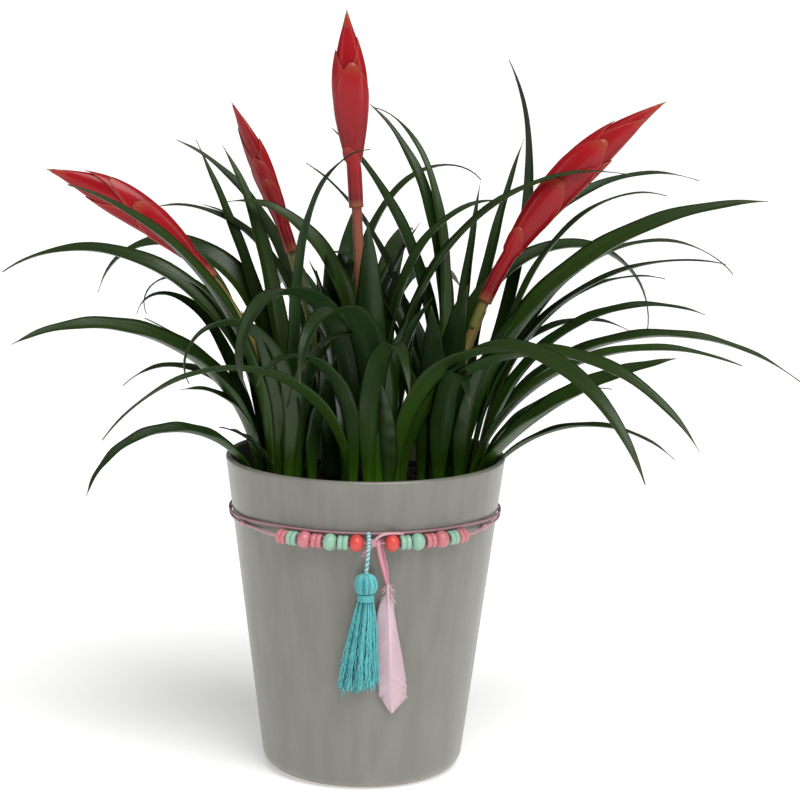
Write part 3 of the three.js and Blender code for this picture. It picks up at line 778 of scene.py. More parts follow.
# Slender leaves between the others, in four pieces. The first of the back ones grows from the left plant.
slenderLeaves = {
    "left": [
        ("left", 160, 11, 159, 136, 79, 39, 3.51, -10, 8),
        ("left", 130, 10, 161, 157, 74, -120, 4.46, -20, 9),
        ("left", 165, 12, 180, 113, 94, 25, 0.74, -15, 8),
        ("left", 168, 13, 162, 139, 73, -79, 4.49, -20, 12),
        ("left", 172, 14, 169, 116, 90, -46, 1.36, -20, 10),
        ("left", 200, 16, 189, 77, 94, -9, 1.47, -20, 10),
        ("left", 240, 15, 189, 48, 94, 10, 0.98, 0, 9),
        ("left", 330, 16, 345, 92, 86, 60, 1.6, 0, 17),
        ("left", 290, 14, 300, 84, 86, 66, 1.6, 0, 17),
        ("left", 245, 13, 236, 96, 86, 58, 1.8, 0, 15),
    ],
    "back": [
        ("left", 95, 12, 150, 186, 84, 60, 1.0, -20, 11),
        ("back", 165, 14, 166, 166, 92, 11, 2.2, -15, 8),
        ("back", 300, 12, 320, 130, 86, 50, 2, 10, 15),
        ("back", 270, 16, 262, 128, 87, 62, 1.8, 0, 17),
        ("back", 330, 15, 338, 142, 86, 56, 2, 0, 16),
    ],
    "middle": [
        ("middle", 15, 12, 0, 236, 94, -11, 1.59, 10, 13),
        ("middle", 290, 20, 250, 62, 86, 74, 1.5, 0, 12),
        ("middle", 265, 20, 285, 142, 88, -75, 2.2, 0, 14),
        ("middle", 300, 13, 300, 96, 88, 60, 1.8, 0, 17),
        ("middle", 200, 11, 200, 105, 88, 50, 1.6, 0, 15),
        ("middle", 235, 20, 226, 122, 87, -60, 2.2, 0, 15),
        ("middle", 175, 14, 168, 120, 88, 66, 1.8, 0, 16),
        ("middle", 20, 13, 28, 132, 88, 60, 1.8, 0, 16),
    ],
    "right": [
        ("right", 120, 10, 135, 219, 94, 2, 3.67, 0, 9),
        ("right", 60, 10, 57, 159, 94, 73, 0.76, 0, 9),
        ("right", 50, 13, 50, 186, 84, 60, 1.54, 0, 10),
        ("right", 10, 12, 10, 203, 77, -17, 3.21, 10, 9),
        ("right", 15, 15, 13, 220, 76, -49, 2.11, 15, 8),
        ("right", 5, 14, 6, 200, 87, -11, 1.15, 10, 9),
        ("right", 12, 16, 10, 165, 78, -14, 1.92, 10, 8),
        ("right", 20, 12, 16, 152, 90, -37, 1.41, 15, 9),
        ("right", 15, 19, 11, 95, 80, -8, 0.95, 0, 7),
        ("right", 340, 18, 346, 119, 56, -40, 1.18, 10, 8),
        ("right", 150, 12, 160, 186, 86, 30, 2.0, -10, 9),
        ("right", 220, 12, 240, 78, 86, 66, 1.5, 0, 15),
        ("right", 250, 15, 262, 108, 86, 50, 1.6, 0, 17),
        ("right", 200, 13, 190, 112, 87, 58, 1.6, 0, 15),
        ("right", 225, 19, 214, 138, 87, -70, 2.3, 0, 15),
        ("right", 262, 21, 282, 118, 86, -60, 2.0, 0, 14),
        ("right", 300, 16, 312, 100, 84, 44, 1.6, 0, 15),
    ],
}


def slopeDirection(slope, turn):
    return Vector((math.cos(slope) * math.cos(turn), math.cos(slope) * math.sin(turn), math.sin(slope)))


def slopeAt(lift, droop, bend, share):
    return math.radians(lift + (droop - lift) * share ** bend)


def leafWidth(share):
    full = leafSettings["baseWidth"] + (1 - leafSettings["baseWidth"]) * smoothStep(share, 0, 0.35)
    return max(0.03, full * (1 - share ** 3))


def leafFrames(leaf, steps):
    # (point, along, across, up) down the middle of a leaf.
    plant, baseAngle, baseRadius, heading, length, lift, droop, bend, twist, _ = leaf
    turn = math.radians(heading)
    side = Vector((-math.sin(turn), math.cos(turn), 0))
    base = math.radians(baseAngle)
    stemX, stemY = leafSettings["plants"][plant]
    point = Vector((stemX + baseRadius * math.cos(base), stemY + baseRadius * math.sin(base), 0)) * mm
    point.z = leafSettings["soilTop"] + 1.5 * mm
    frames = []
    for i in range(steps + 1):
        share = i / steps
        along = slopeDirection(slopeAt(lift, droop, bend, share), turn)
        across = Matrix.Rotation(math.radians(twist) * share, 3, along) @ side
        frames.append((point.copy(), along, across, along.cross(across)))
        middle = slopeAt(lift, droop, bend, (i + 0.5) / steps)
        point += slopeDirection(middle, turn) * (length * mm / steps)
    return frames


def addLeaf(shape, leaf, rng):
    steps = leafSettings["steps"]
    columns = leafSettings["columns"]
    width = leaf[9] * mm
    shade = rng.random()
    swayPhase = rng.uniform(0, 2 * math.pi)
    swayTurns = rng.uniform(0.6, 1.2)
    rippleTurns = rng.uniform(4, 7)
    rings = []
    strap = []
    under = [0.0] * (columns + 1) + [1.0] * (columns - 1)
    for i, (point, along, across, up) in enumerate(leafFrames(leaf, steps)):
        share = i / steps
        half = width / 2 * leafWidth(share)
        rise = 2 * half * leafSettings["channel"] * (1 - 0.4 * share)
        thick = leafSettings["thickness"] * (1 - 0.6 * share)
        sway = leafSettings["sway"] * smoothStep(share, 0.1, 0.6)
        centre = point + across * (sway * math.sin(swayPhase + 2 * math.pi * swayTurns * share))
        ripple = leafSettings["ripple"] * smoothStep(share, 0.1, 0.4)
        top = []
        bottom = []
        for k in range(columns + 1):
            a = 2 * k / columns - 1
            wave = ripple * abs(a) * math.sin(2 * math.pi * rippleTurns * share + (1.7 if a > 0 else 0))
            lift = rise * abs(a) ** 1.35 + wave
            body = thick / 2 * (1 - abs(a) ** 3)
            crease = 0.16 * thick * max(0.0, 1 - abs(a) * 5)
            place = centre + across * (half * a) + up * lift
            top.append((place + up * (body - crease), (a + 1) / 2))
            if 0 < k < columns:
                bottom.append((place - up * body, (a + 1) / 2))
        bottom.reverse()
        rings.append([p for p, _ in top + bottom])
        strap.append([(x, share, shade) for _, x in top + bottom])
    shape.rings(rings, strap, under=under)


def plantName(prefix, plant):
    return prefix + plant.capitalize()


def makeSingleLeaves():
    rng = random.Random(leafSettings["seed"])
    numbers = {}
    for leaf in singleLeaves:
        plant = leaf[0]
        numbers[plant] = numbers.get(plant, 0) + 1
        shape = Shape()
        addLeaf(shape, leaf, rng)
        piece = shape.make(f"{plantName('leaf', plant)}{numbers[plant]}", [materials["leaf"]])
        finishPiece(piece, "leaf", f"{plant}_leaf_{numbers[plant]}")


def addStump(shape, plant):
    # The short leafy stem that a plant's inner leaves grow from.
    x, y = leafSettings["plants"][plant]
    stem = Vector((x * mm, y * mm, leafSettings["soilTop"] + 0.3 * mm))
    radius = leafSettings["stemRadius"]
    rings = []
    strap = []
    sides = 36
    for share in (0, 0.05, 0.3, 0.6, 0.9, 0.97, 1.0):
        size = radius * (1 - 0.28 * share) * (0.9 if share in (0, 1.0) else 1.0)
        ring = []
        for j in range(sides):
            angle = 2 * math.pi * j / sides
            reach = size * (1 + 0.05 * math.cos(6 * angle + 3 * share))
            ring.append(stem + onCircle(reach, angle, leafSettings["stemHeight"] * share))
        rings.append(ring)
        strap.append([(0.5, 0.02, 0.5)] * sides)
    shape.rings(rings, strap)


def makeHearts():
    rng = random.Random(leafSettings["seed"] + 1)
    for plant, leaves in heartLeaves.items():
        shape = Shape()
        addStump(shape, plant)
        for leaf in leaves:
            addLeaf(shape, leaf, rng)
        piece = shape.make(plantName("heart", plant), [materials["heart"]])
        finishPiece(piece, "inner_leaf", f"{plant}_heart")


def makeSlenderLeaves():
    rng = random.Random(leafSettings["seed"] + 2)
    for plant, leaves in slenderLeaves.items():
        shape = Shape()
        for leaf in leaves:
            addLeaf(shape, leaf, rng)
        piece = shape.make(plantName("slenderLeaves", plant), [materials["leaf"]])
        finishPiece(piece, "leaf")


makeSingleLeaves()
makeHearts()
makeSlenderLeaves()
print("leaves made")


swordSettings = {
    "steps": 96,
    "cadSteps": 24,
    "stemRadius": 2.6 * mm,
    "rise": 15.2 * mm,  # where the stem starts, above the soil
    "flat": 0.56,  # a head's depth for its width
    "bractThickness": 0.45 * mm,
    "columns": 16,
    "rows": 26,
    "seed": 23,
}

# Each bract is (start, end, azimuth, spread): shares of the head, and degrees round it from its wide side.
swords = [
    {
        "plant": "left", "heading": 182, "length": 208, "lift": 81.5, "droop": 14, "bend": 1.15,
        "head": 90, "width": 18, "face": 0, "ripe": 0.35,
        "bracts": [(-0.20, 0.43, 75, 130), (-0.05, 0.63, 25, 128), (0.02, 0.76, 0, 125),
                   (0.05, 0.70, 190, 130), (0.25, 1.0, 60, 178)],
        "sheaths": [(0.12, 0.42, 90), (0.34, 0.68, 10), (0.60, 1.0, 170)],
    },
    {
        "plant": "back", "heading": 175, "length": 193, "lift": 81.5, "droop": 62, "bend": 1.3,
        "head": 76, "width": 15, "face": 40, "ripe": 0.3,
        "bracts": [(-0.20, 0.37, 60, 130), (-0.10, 0.54, 75, 128), (0.0, 0.65, -15, 128),
                   (0.10, 0.78, 170, 125), (0.28, 1.0, 60, 178)],
        "sheaths": [(0.12, 0.42, 60), (0.36, 0.70, -10), (0.62, 1.0, 150)],
    },
    {
        "plant": "middle", "heading": 180, "length": 234, "lift": 85, "droop": 87, "bend": 1,
        "head": 80, "width": 18.5, "face": 0, "ripe": 0.95,
        "bracts": [(-0.30, 0.10, 120, 150), (-0.12, 0.64, 80, 125), (-0.05, 0.72, 165, 130),
                   (0.0, 0.80, 10, 130), (0.25, 1.0, 90, 178)],
        "sheaths": [(0.15, 0.50, 185), (0.38, 0.66, 150), (0.56, 1.0, 40)],
    },
    {
        "plant": "right", "heading": 2, "length": 229, "lift": 87, "droop": 30, "bend": 1.05,
        "head": 112, "width": 19.5, "face": 0, "ripe": 0.45,
        "bracts": [(-0.25, 0.12, -60, 150), (-0.10, 0.40, -75, 130), (0.03, 0.66, -80, 126),
                   (0.06, 0.62, 195, 126), (0.10, 0.74, 0, 126), (0.28, 0.86, -120, 126),
                   (0.35, 1.0, -80, 178)],
        "sheaths": [(0.10, 0.44, -90), (0.36, 0.72, 180), (0.62, 1.0, -30)],
    },
]


def swordFrames(sword):
    x, y = leafSettings["plants"][sword["plant"]]
    turn = math.radians(sword["heading"])
    lift, droop, bend = sword["lift"], sword["droop"], sword["bend"]
    point = Vector((x * mm, y * mm, leafSettings["soilTop"] + swordSettings["rise"]))
    steps = swordSettings["steps"]
    across = Vector((-math.sin(turn), math.cos(turn), 0))
    face = math.radians(sword["face"])
    frames = []
    for i in range(steps + 1):
        along = slopeDirection(slopeAt(lift, droop, bend, i / steps), turn)
        up = along.cross(across)
        wide = up * math.cos(face) + across * math.sin(face)
        thin = across * math.cos(face) - up * math.sin(face)
        frames.append((point.copy(), along, wide, thin))
        middle = slopeAt(lift, droop, bend, (i + 0.5) / steps)
        point += slopeDirection(middle, turn) * (sword["length"] * mm / steps)
    return frames


def headSwell(share):
    if share < 0.48:
        return 0.42 + 0.58 * math.sin(math.pi * share / 0.96)
    return max(0.02, math.cos(math.pi * (share - 0.48) / 1.04) ** 1.2)


def frameAt(frames, share):
    # The frame at a share of the sword's length.
    place = min(max(share, 0.0), 1.0) * (len(frames) - 1)
    i = min(int(place), len(frames) - 2)
    return [a.lerp(b, place - i) for a, b in zip(frames[i], frames[i + 1])]


def addBract(shape, frames, toShare, sizeAt, bract, layer, rng, ripe=0.5):
    # A pointed shell that clasps the stem: it wraps widest at its foot and closes to a tip.
    start, end, azimuth, spread = bract
    rows = swordSettings["rows"]
    columns = swordSettings["columns"]
    closing = spread > 170
    shade = 2.0 if closing else mix(rng.random(), ripe, 0.7)
    rings = []
    strap = []
    under = [0.0] * (columns + 1) + [1.0] * (columns + 1)
    for i in range(rows + 1):
        t = i / rows
        share = mix(start, end, t)
        point, _, wide, thin = frameAt(frames, toShare(share))
        width, depth = sizeAt(share)
        reach = math.radians(spread) * max(0.02, 1 - t ** (4.5 if closing else 2.0)) ** 0.72
        lifted = layer + 0.25 * mm * t ** 3
        outer = []
        inner = []
        for k in range(columns + 1):
            a = 2 * k / columns - 1
            angle = math.radians(azimuth) + a * reach
            keel = 1 + 0.03 * max(0.0, 1 - abs(a) * 2.2) * (0.4 + 0.6 * t)
            edge = swordSettings["bractThickness"] * (1 - 0.7 * abs(a) ** 4) * (1 - 0.5 * t)
            for ring, off in ((outer, lifted), (inner, lifted - edge)):
                ring.append(point + wide * ((width * keel + off) * math.cos(angle))
                            + thin * ((depth * keel + off) * math.sin(angle)))
        inner.reverse()
        rings.append(outer + inner)
        across = [k / columns for k in range(columns + 1)]
        strap.append([(x, t, shade) for x in across + across[::-1]])
    shape.rings(rings, strap, under=under)


def addCore(shape, frames, first, last, sizeAt, toShare, ripe, sides=20):
    rings = []
    strap = []
    rows = 40
    for i in range(rows + 1):
        share = mix(first, last, i / rows)
        point, _, wide, thin = frameAt(frames, toShare(share))
        width, depth = sizeAt(share)
        ring = []
        for j in range(sides):
            angle = 2 * math.pi * j / sides
            ring.append(point + wide * (width * math.cos(angle)) + thin * (depth * math.sin(angle)))
        rings.append(ring)
        strap.append([(0.5, i / rows, ripe)] * sides)
    shape.rings(rings, strap)


def makeSword(sword, rng):
    frames = swordFrames(sword)
    plant = sword["plant"]
    cadSteps = swordSettings["cadSteps"]
    split = round(cadSteps * (1 - sword["head"] / sword["length"])) / cadSteps
    radius = swordSettings["stemRadius"]

    def stemShare(share):
        return share * (split - 0.002)

    def stemSize(share):
        return radius * 0.92, radius * 0.92

    def headShare(share):
        return split + share * (1 - split)

    def headSize(share):
        if share < 0:
            return radius * 1.15, radius
        width = sword["width"] / 2 * mm * headSwell(share) * 0.97
        depth = width * swordSettings["flat"]
        foot = smoothStep(share, 0, 0.12)
        return mix(max(radius * 1.15, width), width, foot), mix(max(radius, depth), depth, foot)

    stem = Shape()
    addCore(stem, frames, 0, 1, stemSize, stemShare, sword["ripe"])
    for i, (start, end, azimuth) in enumerate(sword["sheaths"]):
        layer = (0.75 - 0.25 * i) * mm
        ripe = sword["ripe"] * mix(0.4, 1.0, smoothStep(end, 0.3, 1.0))
        addBract(stem, frames, stemShare, stemSize, (start, end, azimuth, 150), layer, rng, ripe)
    piece = stem.make(plantName("flowerStem", plant), [materials["stem"]])
    finishPiece(piece, "flower_stem", f"{plant}_flower_stem")

    head = Shape()

    def coreSize(share):
        width, depth = headSize(share)
        return width * 0.82, depth * 0.82

    addCore(head, frames, 0.01, 0.94, coreSize, headShare, 0.5)
    count = len(sword["bracts"])
    for i, bract in enumerate(sword["bracts"]):
        layer = (1.3 * (count - 1 - i) / (count - 1) - 0.5) * mm
        addBract(head, frames, headShare, headSize, bract, layer, rng)
    piece = head.make(plantName("bracts", plant), [materials["bract"]])
    finishPiece(piece, "bract", f"{plant}_flower_bracts")


swordRandom = random.Random(swordSettings["seed"])
for flower in swords:
    makeSword(flower, swordRandom)
print("flower swords made")


garlandSettings = {
    "height": 135.5 * mm,
    "middle": 4.5,
    "opening": 4.1,
    "beadSpace": 0.35 * mm,
    "hole": 1.3 * mm,
    "cord": 0.7 * mm,
    "beadOff": 4.8 * mm,
    "cordOff": 1.3 * mm,
    "upperRise": 4.2 * mm,
    "backRise": 2.3 * mm,
    "steps": 540,
    "knots": (-66, 56),
    "beadSides": 40,
    "seed": 31,
    "round": (4.3 * mm, 7.2 * mm),
    "disc": (3.6 * mm, 5.4 * mm),
    "order": [("coral", "round"), ("mint", "disc"), ("mint", "round"), ("pink", "disc"),
              ("pink", "round"), ("mint", "disc"), ("pink", "disc")],
}


def garlandPoint(angle, height, off):
    turn = math.radians(garlandSettings["middle"] + angle)
    radius = potRadius(height) + off
    return Vector((radius * math.sin(turn), -radius * math.cos(turn), height))


def apart(angle, other):
    return abs((angle - other + 180) % 360 - 180)


def beadOutline(kind):
    radius, length = garlandSettings[kind]
    hole = garlandSettings["hole"]
    half = length / 2
    if kind == "round":
        shoulder = math.acos(hole / radius)
        outline = []
        for i in range(25):
            angle = shoulder * (i / 12 - 1)
            outline.append((radius * math.cos(angle), half * math.sin(angle) / math.sin(shoulder)))
        return outline
    outline = [(hole, -half)]
    rounding = ((0.9, -0.97), (0.35, -0.85), (0.05, -0.5), (0, 0), (0.05, 0.5), (0.35, 0.85), (0.9, 0.97))
    for centre in (-half / 2, half / 2):
        outline += [(radius - x * mm, centre + y * half / 2) for x, y in rounding]
    outline.append((hole, half))
    return outline


def makeBead(name, node, colourName, kind, angle):
    shape = Shape()
    outline = beadOutline(kind)
    hole = garlandSettings["hole"]
    inside = [(hole, mix(outline[-1][1], outline[0][1], t)) for t in (0.25, 0.5, 0.75)]
    turnedTo = Matrix.Rotation(math.radians(garlandSettings["middle"] + angle), 4, "Z")
    centre = garlandPoint(angle, garlandSettings["height"], garlandSettings["beadOff"])
    place = Matrix.Translation(centre) @ turnedTo @ Matrix.Rotation(math.pi / 2, 4, "Y")
    sides = garlandSettings["beadSides"]
    rings = [[place @ p for p in circlePoints(radius, height, sides)] for radius, height in outline + inside]
    strap = [[(0.5, 0.5, 0.5)] * sides] * len(rings)
    shape.rings(rings, strap, closed=True)
    piece = shape.make(name, [materials[colourName]])
    finishPiece(piece, f"{colourName}_wood", node)


def makeBeads():
    reachRadius = potRadius(garlandSettings["height"]) + garlandSettings["beadOff"]
    for sign, side in ((-1, "left"), (1, "right")):
        reach = garlandSettings["opening"]
        for i, (colourName, kind) in enumerate(garlandSettings["order"]):
            length = garlandSettings[kind][1]
            angle = reach + math.degrees(length / reachRadius) / 2
            reach += math.degrees((length + garlandSettings["beadSpace"]) / reachRadius)
            node = f"{side}_bead_{i + 1}_{colourName}"
            name = f"{colourName}Bead{side.capitalize()}{i + 1}"
            makeBead(name, node, colourName, kind, sign * angle)


def lowerCordPoint(angle):
    away = smoothStep(apart(angle, 0), 42, 58)
    off = mix(garlandSettings["beadOff"], garlandSettings["cordOff"], away)
    return garlandPoint(angle, garlandSettings["height"], off)


def upperCordPoint(angle):
    front = 1 - smoothStep(apart(angle, 0), 38, 80)
    rise = mix(garlandSettings["backRise"], garlandSettings["upperRise"], front)
    return garlandPoint(angle, garlandSettings["height"] + rise, garlandSettings["cordOff"])


def makeCords():
    steps = garlandSettings["steps"]
    angles = [360 * i / steps for i in range(steps)]
    laid = {"closed": True, "lobes": 2, "lobeTurns": 90, "lobeDepth": 0.06}
    radius = garlandSettings["cord"] * 0.94
    shape = Shape()
    tube(shape, [lowerCordPoint(a) for a in angles], radius, 10, shade=0.65, **laid)
    for at in garlandSettings["knots"]:
        # An overhand knot: two tight turns round the cord, whose ends run into it.
        path = [lowerCordPoint(at + 2.2 * (i / 30 - 0.5)) for i in range(31)]
        tube(shape, helix(path, 0.75 * mm, 2.2), 0.75 * mm, 8, shade=0.8)
    piece = shape.make("lowerCord", [materials["cord"]])
    finishPiece(piece, "pink_cord", "lower_cord")
    shape = Shape()
    # The upper cord is painted toward the cord's dark tone: painted shade, as it lies in shadow on the pot.
    tube(shape, [upperCordPoint(a) for a in angles], radius, 10, shade=0.35, **laid)
    piece = shape.make("upperCord", [materials["cord"]])
    finishPiece(piece, "pink_cord", "upper_cord")


def makeGarlandKnot():
    # The knot at the middle, the loop that runs from it over the coral bead, and its frayed tail.
    rng = random.Random(garlandSettings["seed"])
    shape = Shape()
    path = [lowerCordPoint(0.4 + 3.2 * (i / 40 - 0.5)) for i in range(41)]
    tube(shape, helix(path, 1.35 * mm, 2.6), 0.8 * mm, 9, shade=0.9)
    tube(shape, helix(path, 1.1 * mm, -1.4, 0.35), 0.75 * mm, 9, shade=0.6)
    start = lowerCordPoint(-0.6)
    loop = [start + Vector((0, -1.2 * mm, 0)), start + Vector((2.4, -2.2, 3.4)) * mm,
            start + Vector((6.2, -1.6, 5.2)) * mm, lowerCordPoint(8.6) + Vector((0, 0.6, 4.6)) * mm,
            upperCordPoint(12) + Vector((0, -0.6, -0.6)) * mm]
    tube(shape, smoothPath(loop, 10), 0.75 * mm, 9, shade=0.9)
    tail = [start + Vector((0.2, -0.4, -0.8)) * mm, start + Vector((-2.0, -0.8, -2.6)) * mm,
            start + Vector((-4.2, 0.6, -5.2)) * mm]
    tube(shape, smoothPath(tail, 8), 0.7 * mm, 8, shade=0.85)
    end = tail[-1]
    for _ in range(16):
        spread = Vector((rng.uniform(-1.6, 0.6), rng.uniform(-0.8, 0.8), rng.uniform(-2.2, -0.6))) * mm
        tube(shape, smoothPath([end, end + spread * 0.5, end + spread], 4), 0.13 * mm, 5, shade=0.95)
    piece = shape.make("garlandKnot", [materials["cord"]])
    finishPiece(piece, "pink_cord", "garland_knot")


makeBeads()
makeCords()
makeGarlandKnot()
print("garland made")


tasselSettings = {
    "x": 1.8 * mm,
    "top": 119.6 * mm,
    "headHeight": 9.2 * mm,
    "headRadius": 5.4 * mm,
    "bindHeight": 4 * mm,
    "bindRadius": 4.4 * mm,
    "hem": 60 * mm,
    "threads": 300,
    "headThreads": 72,
    "threadSteps": 34,
    "bindTurns": 7,
    "cordTurns": 15,
    "seed": 41,
}
hangY = -(potRadius(120 * mm) + 6.5 * mm)


def makeTasselHead():
    top = tasselSettings["top"]
    height = tasselSettings["headHeight"]
    radius = tasselSettings["headRadius"]
    rng = random.Random(tasselSettings["seed"])
    shape = Shape()
    centre = Vector((tasselSettings["x"], hangY, 0))
    profile = [(0.10, 1.0), (0.34, 1.0), (0.62, 0.95), (0.86, 0.80), (0.97, 0.58), (1.0, 0.38),
               (0.93, 0.18), (0.80, 0.0)]
    core = [(x * radius * 0.93, top - height + z * height * 0.97) for x, z in reversed(profile)]
    lathe(shape, core, 28, Matrix.Translation(centre), 0.2)
    count = tasselSettings["headThreads"]
    for i in range(count):
        angle = 2 * math.pi * (i + rng.uniform(-0.4, 0.4)) / count
        lean = rng.uniform(-0.12, 0.12)
        reach = rng.uniform(0.94, 1.03)
        path = []
        for k, (x, z) in enumerate(profile):
            turn = angle + lean * k / len(profile)
            size = x * radius * (reach if k > 1 else 1)
            path.append(centre + onCircle(size, turn, top - height + z * height))
        tube(shape, smoothPath(path, 3), 0.27 * mm, 5, shade=rng.uniform(0.25, 1.0))
    piece = shape.make("tasselHead", [materials["teal"]])
    finishPiece(piece, "tassel_thread", "tassel_head")


def makeTasselBinding():
    top = tasselSettings["top"] - tasselSettings["headHeight"] - 0.3 * mm
    height = tasselSettings["bindHeight"]
    radius = tasselSettings["bindRadius"]
    shape = Shape()
    centre = Vector((tasselSettings["x"], hangY, 0))
    core = [(radius - 0.7 * mm, top - height + 0.1 * mm), (radius - 0.5 * mm, top - height / 2),
            (radius - 0.7 * mm, top - 0.1 * mm)]
    lathe(shape, core, 28, Matrix.Translation(centre), 0.2)
    turns = tasselSettings["bindTurns"]
    steps = tasselSettings["threadSteps"]
    path = []
    for i in range(turns * steps + 1):
        angle = 2 * math.pi * i / steps
        level = top - 0.35 * mm - (height - 0.7 * mm) * i / (turns * steps)
        path.append(centre + onCircle(radius - 0.42 * mm, angle, level))
    tube(shape, path, 0.3 * mm, 6, shade=0.55)
    piece = shape.make("tasselBinding", [materials["teal"]])
    finishPiece(piece, "tassel_thread", "tassel_binding")


def makeTasselSkirt():
    above = tasselSettings["headHeight"] + tasselSettings["bindHeight"]
    skirtTop = tasselSettings["top"] - above - 0.6 * mm
    hem = tasselSettings["hem"]
    rng = random.Random(tasselSettings["seed"] + 1)
    shape = Shape()
    bindRadius = tasselSettings["bindRadius"]
    for i in range(tasselSettings["threads"]):
        angle = rng.uniform(0, 2 * math.pi)
        inward = math.sqrt(rng.random()) if i % 3 else 1.0
        loose = i % 60 == 7
        end = hem + rng.gauss(0, 1.6) * mm + (-9 * mm * rng.random() if loose else 0)
        # The hem runs lower in the middle than at its sides, and lowest left of it.
        end += 3.0 * mm * math.cos(angle) ** 2 - 1.5 * mm + 1.4 * mm * math.cos(angle)
        wander = rng.uniform(0.2, 0.9) * mm * (1.8 if loose else 1.0)
        phase = rng.uniform(0, 6.3)
        waves = rng.uniform(1.0, 3.2)
        bulge = rng.uniform(0.9, 1.08)
        crimp = rng.uniform(0.08, 0.42) * mm
        crimps = rng.uniform(8, 13)
        path = []
        steps = tasselSettings["threadSteps"]
        for k in range(steps + 1):
            share = k / steps
            height = mix(skirtTop, end, share)
            full = (skirtTop - height) / (skirtTop - hem)
            flare = bindRadius - 0.6 * mm + 6 * mm * max(full, 0) ** 0.8
            wide = flare * inward * (1 if share < 0.1 else bulge)
            deep = (bindRadius - 0.6 * mm - 0.6 * mm * full) * inward
            wall = -(potRadius(height) + 1.2 * mm + bindRadius - 0.4 * mm * full)
            sway = wander * share * math.sin(phase + waves * 2 * math.pi * share)
            sway += crimp * smoothStep(share, 0.05, 0.3) * math.sin(phase + crimps * 2 * math.pi * share)
            x = tasselSettings["x"] - 3.4 * mm * full + wide * math.cos(angle) + sway
            y = wall + deep * math.sin(angle) + 0.3 * sway
            path.append(Vector((x, min(y, -(potRadius(height) + 0.5 * mm)), height)))
        # Threads on the side towards the pot are kept darker: painted shade between the skirt and the pot.
        dark = rng.random() * (0.55 + 0.45 * (math.sin(angle) < 0))
        tube(shape, path, 0.25 * mm, 4, shade=dark)
    piece = shape.make("tasselSkirt", [materials["teal"]])
    finishPiece(piece, "tassel_thread", "tassel_skirt")


def makeTasselCord():
    # Two strands, teal and pale, laid round each other: over the lower cord and down to the head.
    route = [(2.6, -69.6, 137.6), (2.8, -71.6, 140.0), (3, -74.8, 139.6), (3, -76.2, 136.6),
             (2.9, -76.2, 133), (2.6, -75.4, 128), (2, -74, 122), (1.8, -73.2, 119.4)]
    path = smoothPath([Vector(p) * mm for p in route], 12)
    shape = Shape()
    for slot, phase, shade in ((0, 0.0, 0.5), (1, 0.5, 0.8)):
        strand = helix(path, 0.5 * mm, tasselSettings["cordTurns"], phase)
        tube(shape, strand, 0.56 * mm, 8, shade=shade, slot=slot)
    piece = shape.make("tasselCord", [materials["teal"], materials["white"]])
    finishPiece(piece, "tassel_cord", "tassel_cord")


makeTasselHead()
makeTasselBinding()
makeTasselSkirt()
makeTasselCord()
print("tassel made")


featherSettings = {
    "x": 12.6 * mm,
    "top": 114.6 * mm,
    "tip": 44 * mm,
    "drift": 3 * mm,
    "width": 14 * mm,
    "barbs": 150,
    "barbSteps": 8,
    "downs": 36,  # loose barbs at the quill
    "slit": 0.84,
    "seed": 53,
}


def featherWall(height, share):
    return -(potRadius(height) + 1 * mm + 3 * mm * (1 - share))


def vaneReach(side, share):
    # How far the vane stands out from its shaft at a share of its length, for each side.
    half = featherSettings["width"] / 2
    if side < 0:
        closing = 1.0 if share < 0.86 else max(0.04, (1 - share) / 0.14) ** 0.8
        return half * 0.92 * smoothStep(share, -0.06, 0.30) * closing
    closing = 1.0 if share < 0.88 else max(0.04, (1 - share) / 0.12) ** 0.9
    return half * mix(0.30, 1.12, smoothStep(share, 0.05, 0.85)) * closing


def shaftPoint(share):
    height = mix(featherSettings["top"], featherSettings["tip"], share)
    x = featherSettings["x"] + featherSettings["drift"] * share
    return Vector((x, featherWall(height, share) - 0.2 * mm, height))


def makeFeather():
    rng = random.Random(featherSettings["seed"])
    shape = Shape()
    shaft = [shaftPoint(i / 60 * 0.97) for i in range(61)]
    quill = shaftPoint(0) + Vector((0, 0, 1.2 * mm))
    tube(shape, [quill] + shaft, lambda t: mix(0.55, 0.12, t) * mm, 8, shade=1.0)
    count = featherSettings["barbs"]
    for side in (-1, 1):
        for i in range(count):
            root = (i + 0.5) / count * 0.97
            # A barb leaves the shaft slantwise and bends down towards the tip.
            slant = 0.16 * (1 - 0.5 * root)
            gap = 0.0
            if side > 0:
                nearest = abs(root + slant * 0.8 - featherSettings["slit"])
                gap = 0.022 * max(0.0, 1 - nearest / 0.02)
            jitter = rng.uniform(-0.003, 0.003)
            reachScale = rng.uniform(0.94, 1.03)
            path = []
            steps = featherSettings["barbSteps"]
            for k in range(steps + 1):
                out = k / steps
                share = min(0.999, root + slant * out ** 0.8 + jitter * out + gap * out)
                point = shaftPoint(share)
                reach = vaneReach(side, share) * out * reachScale
                cup = 0.6 * mm * math.sin(math.pi * out * 0.6)
                path.append(point + Vector((side * reach, cup * 0.6 - 0.05 * mm * (i % 3), 0)))
            shade = mix(0.35, 0.95, rng.random()) * (0.75 if side < 0 else 1.0)
            barbStrip(shape, path, 0.42 * mm, shade)
    for _ in range(featherSettings["downs"]):
        side = rng.choice((-1, 1))
        start = shaftPoint(rng.uniform(0.0, 0.10))
        reach = Vector((side * rng.uniform(1.5, 4.5), rng.uniform(-0.6, 0.6), rng.uniform(-6, -1))) * mm
        bend = Vector((rng.uniform(-0.8, 0.8), rng.uniform(-0.4, 0.4), 0)) * mm
        curl = smoothPath([start, start + reach * 0.5 + bend, start + reach], 5)
        tube(shape, curl, 0.09 * mm, 4, shade=1.0)
    piece = shape.make("feather", [materials["feather"]])
    finishPiece(piece, "feather", "feather")


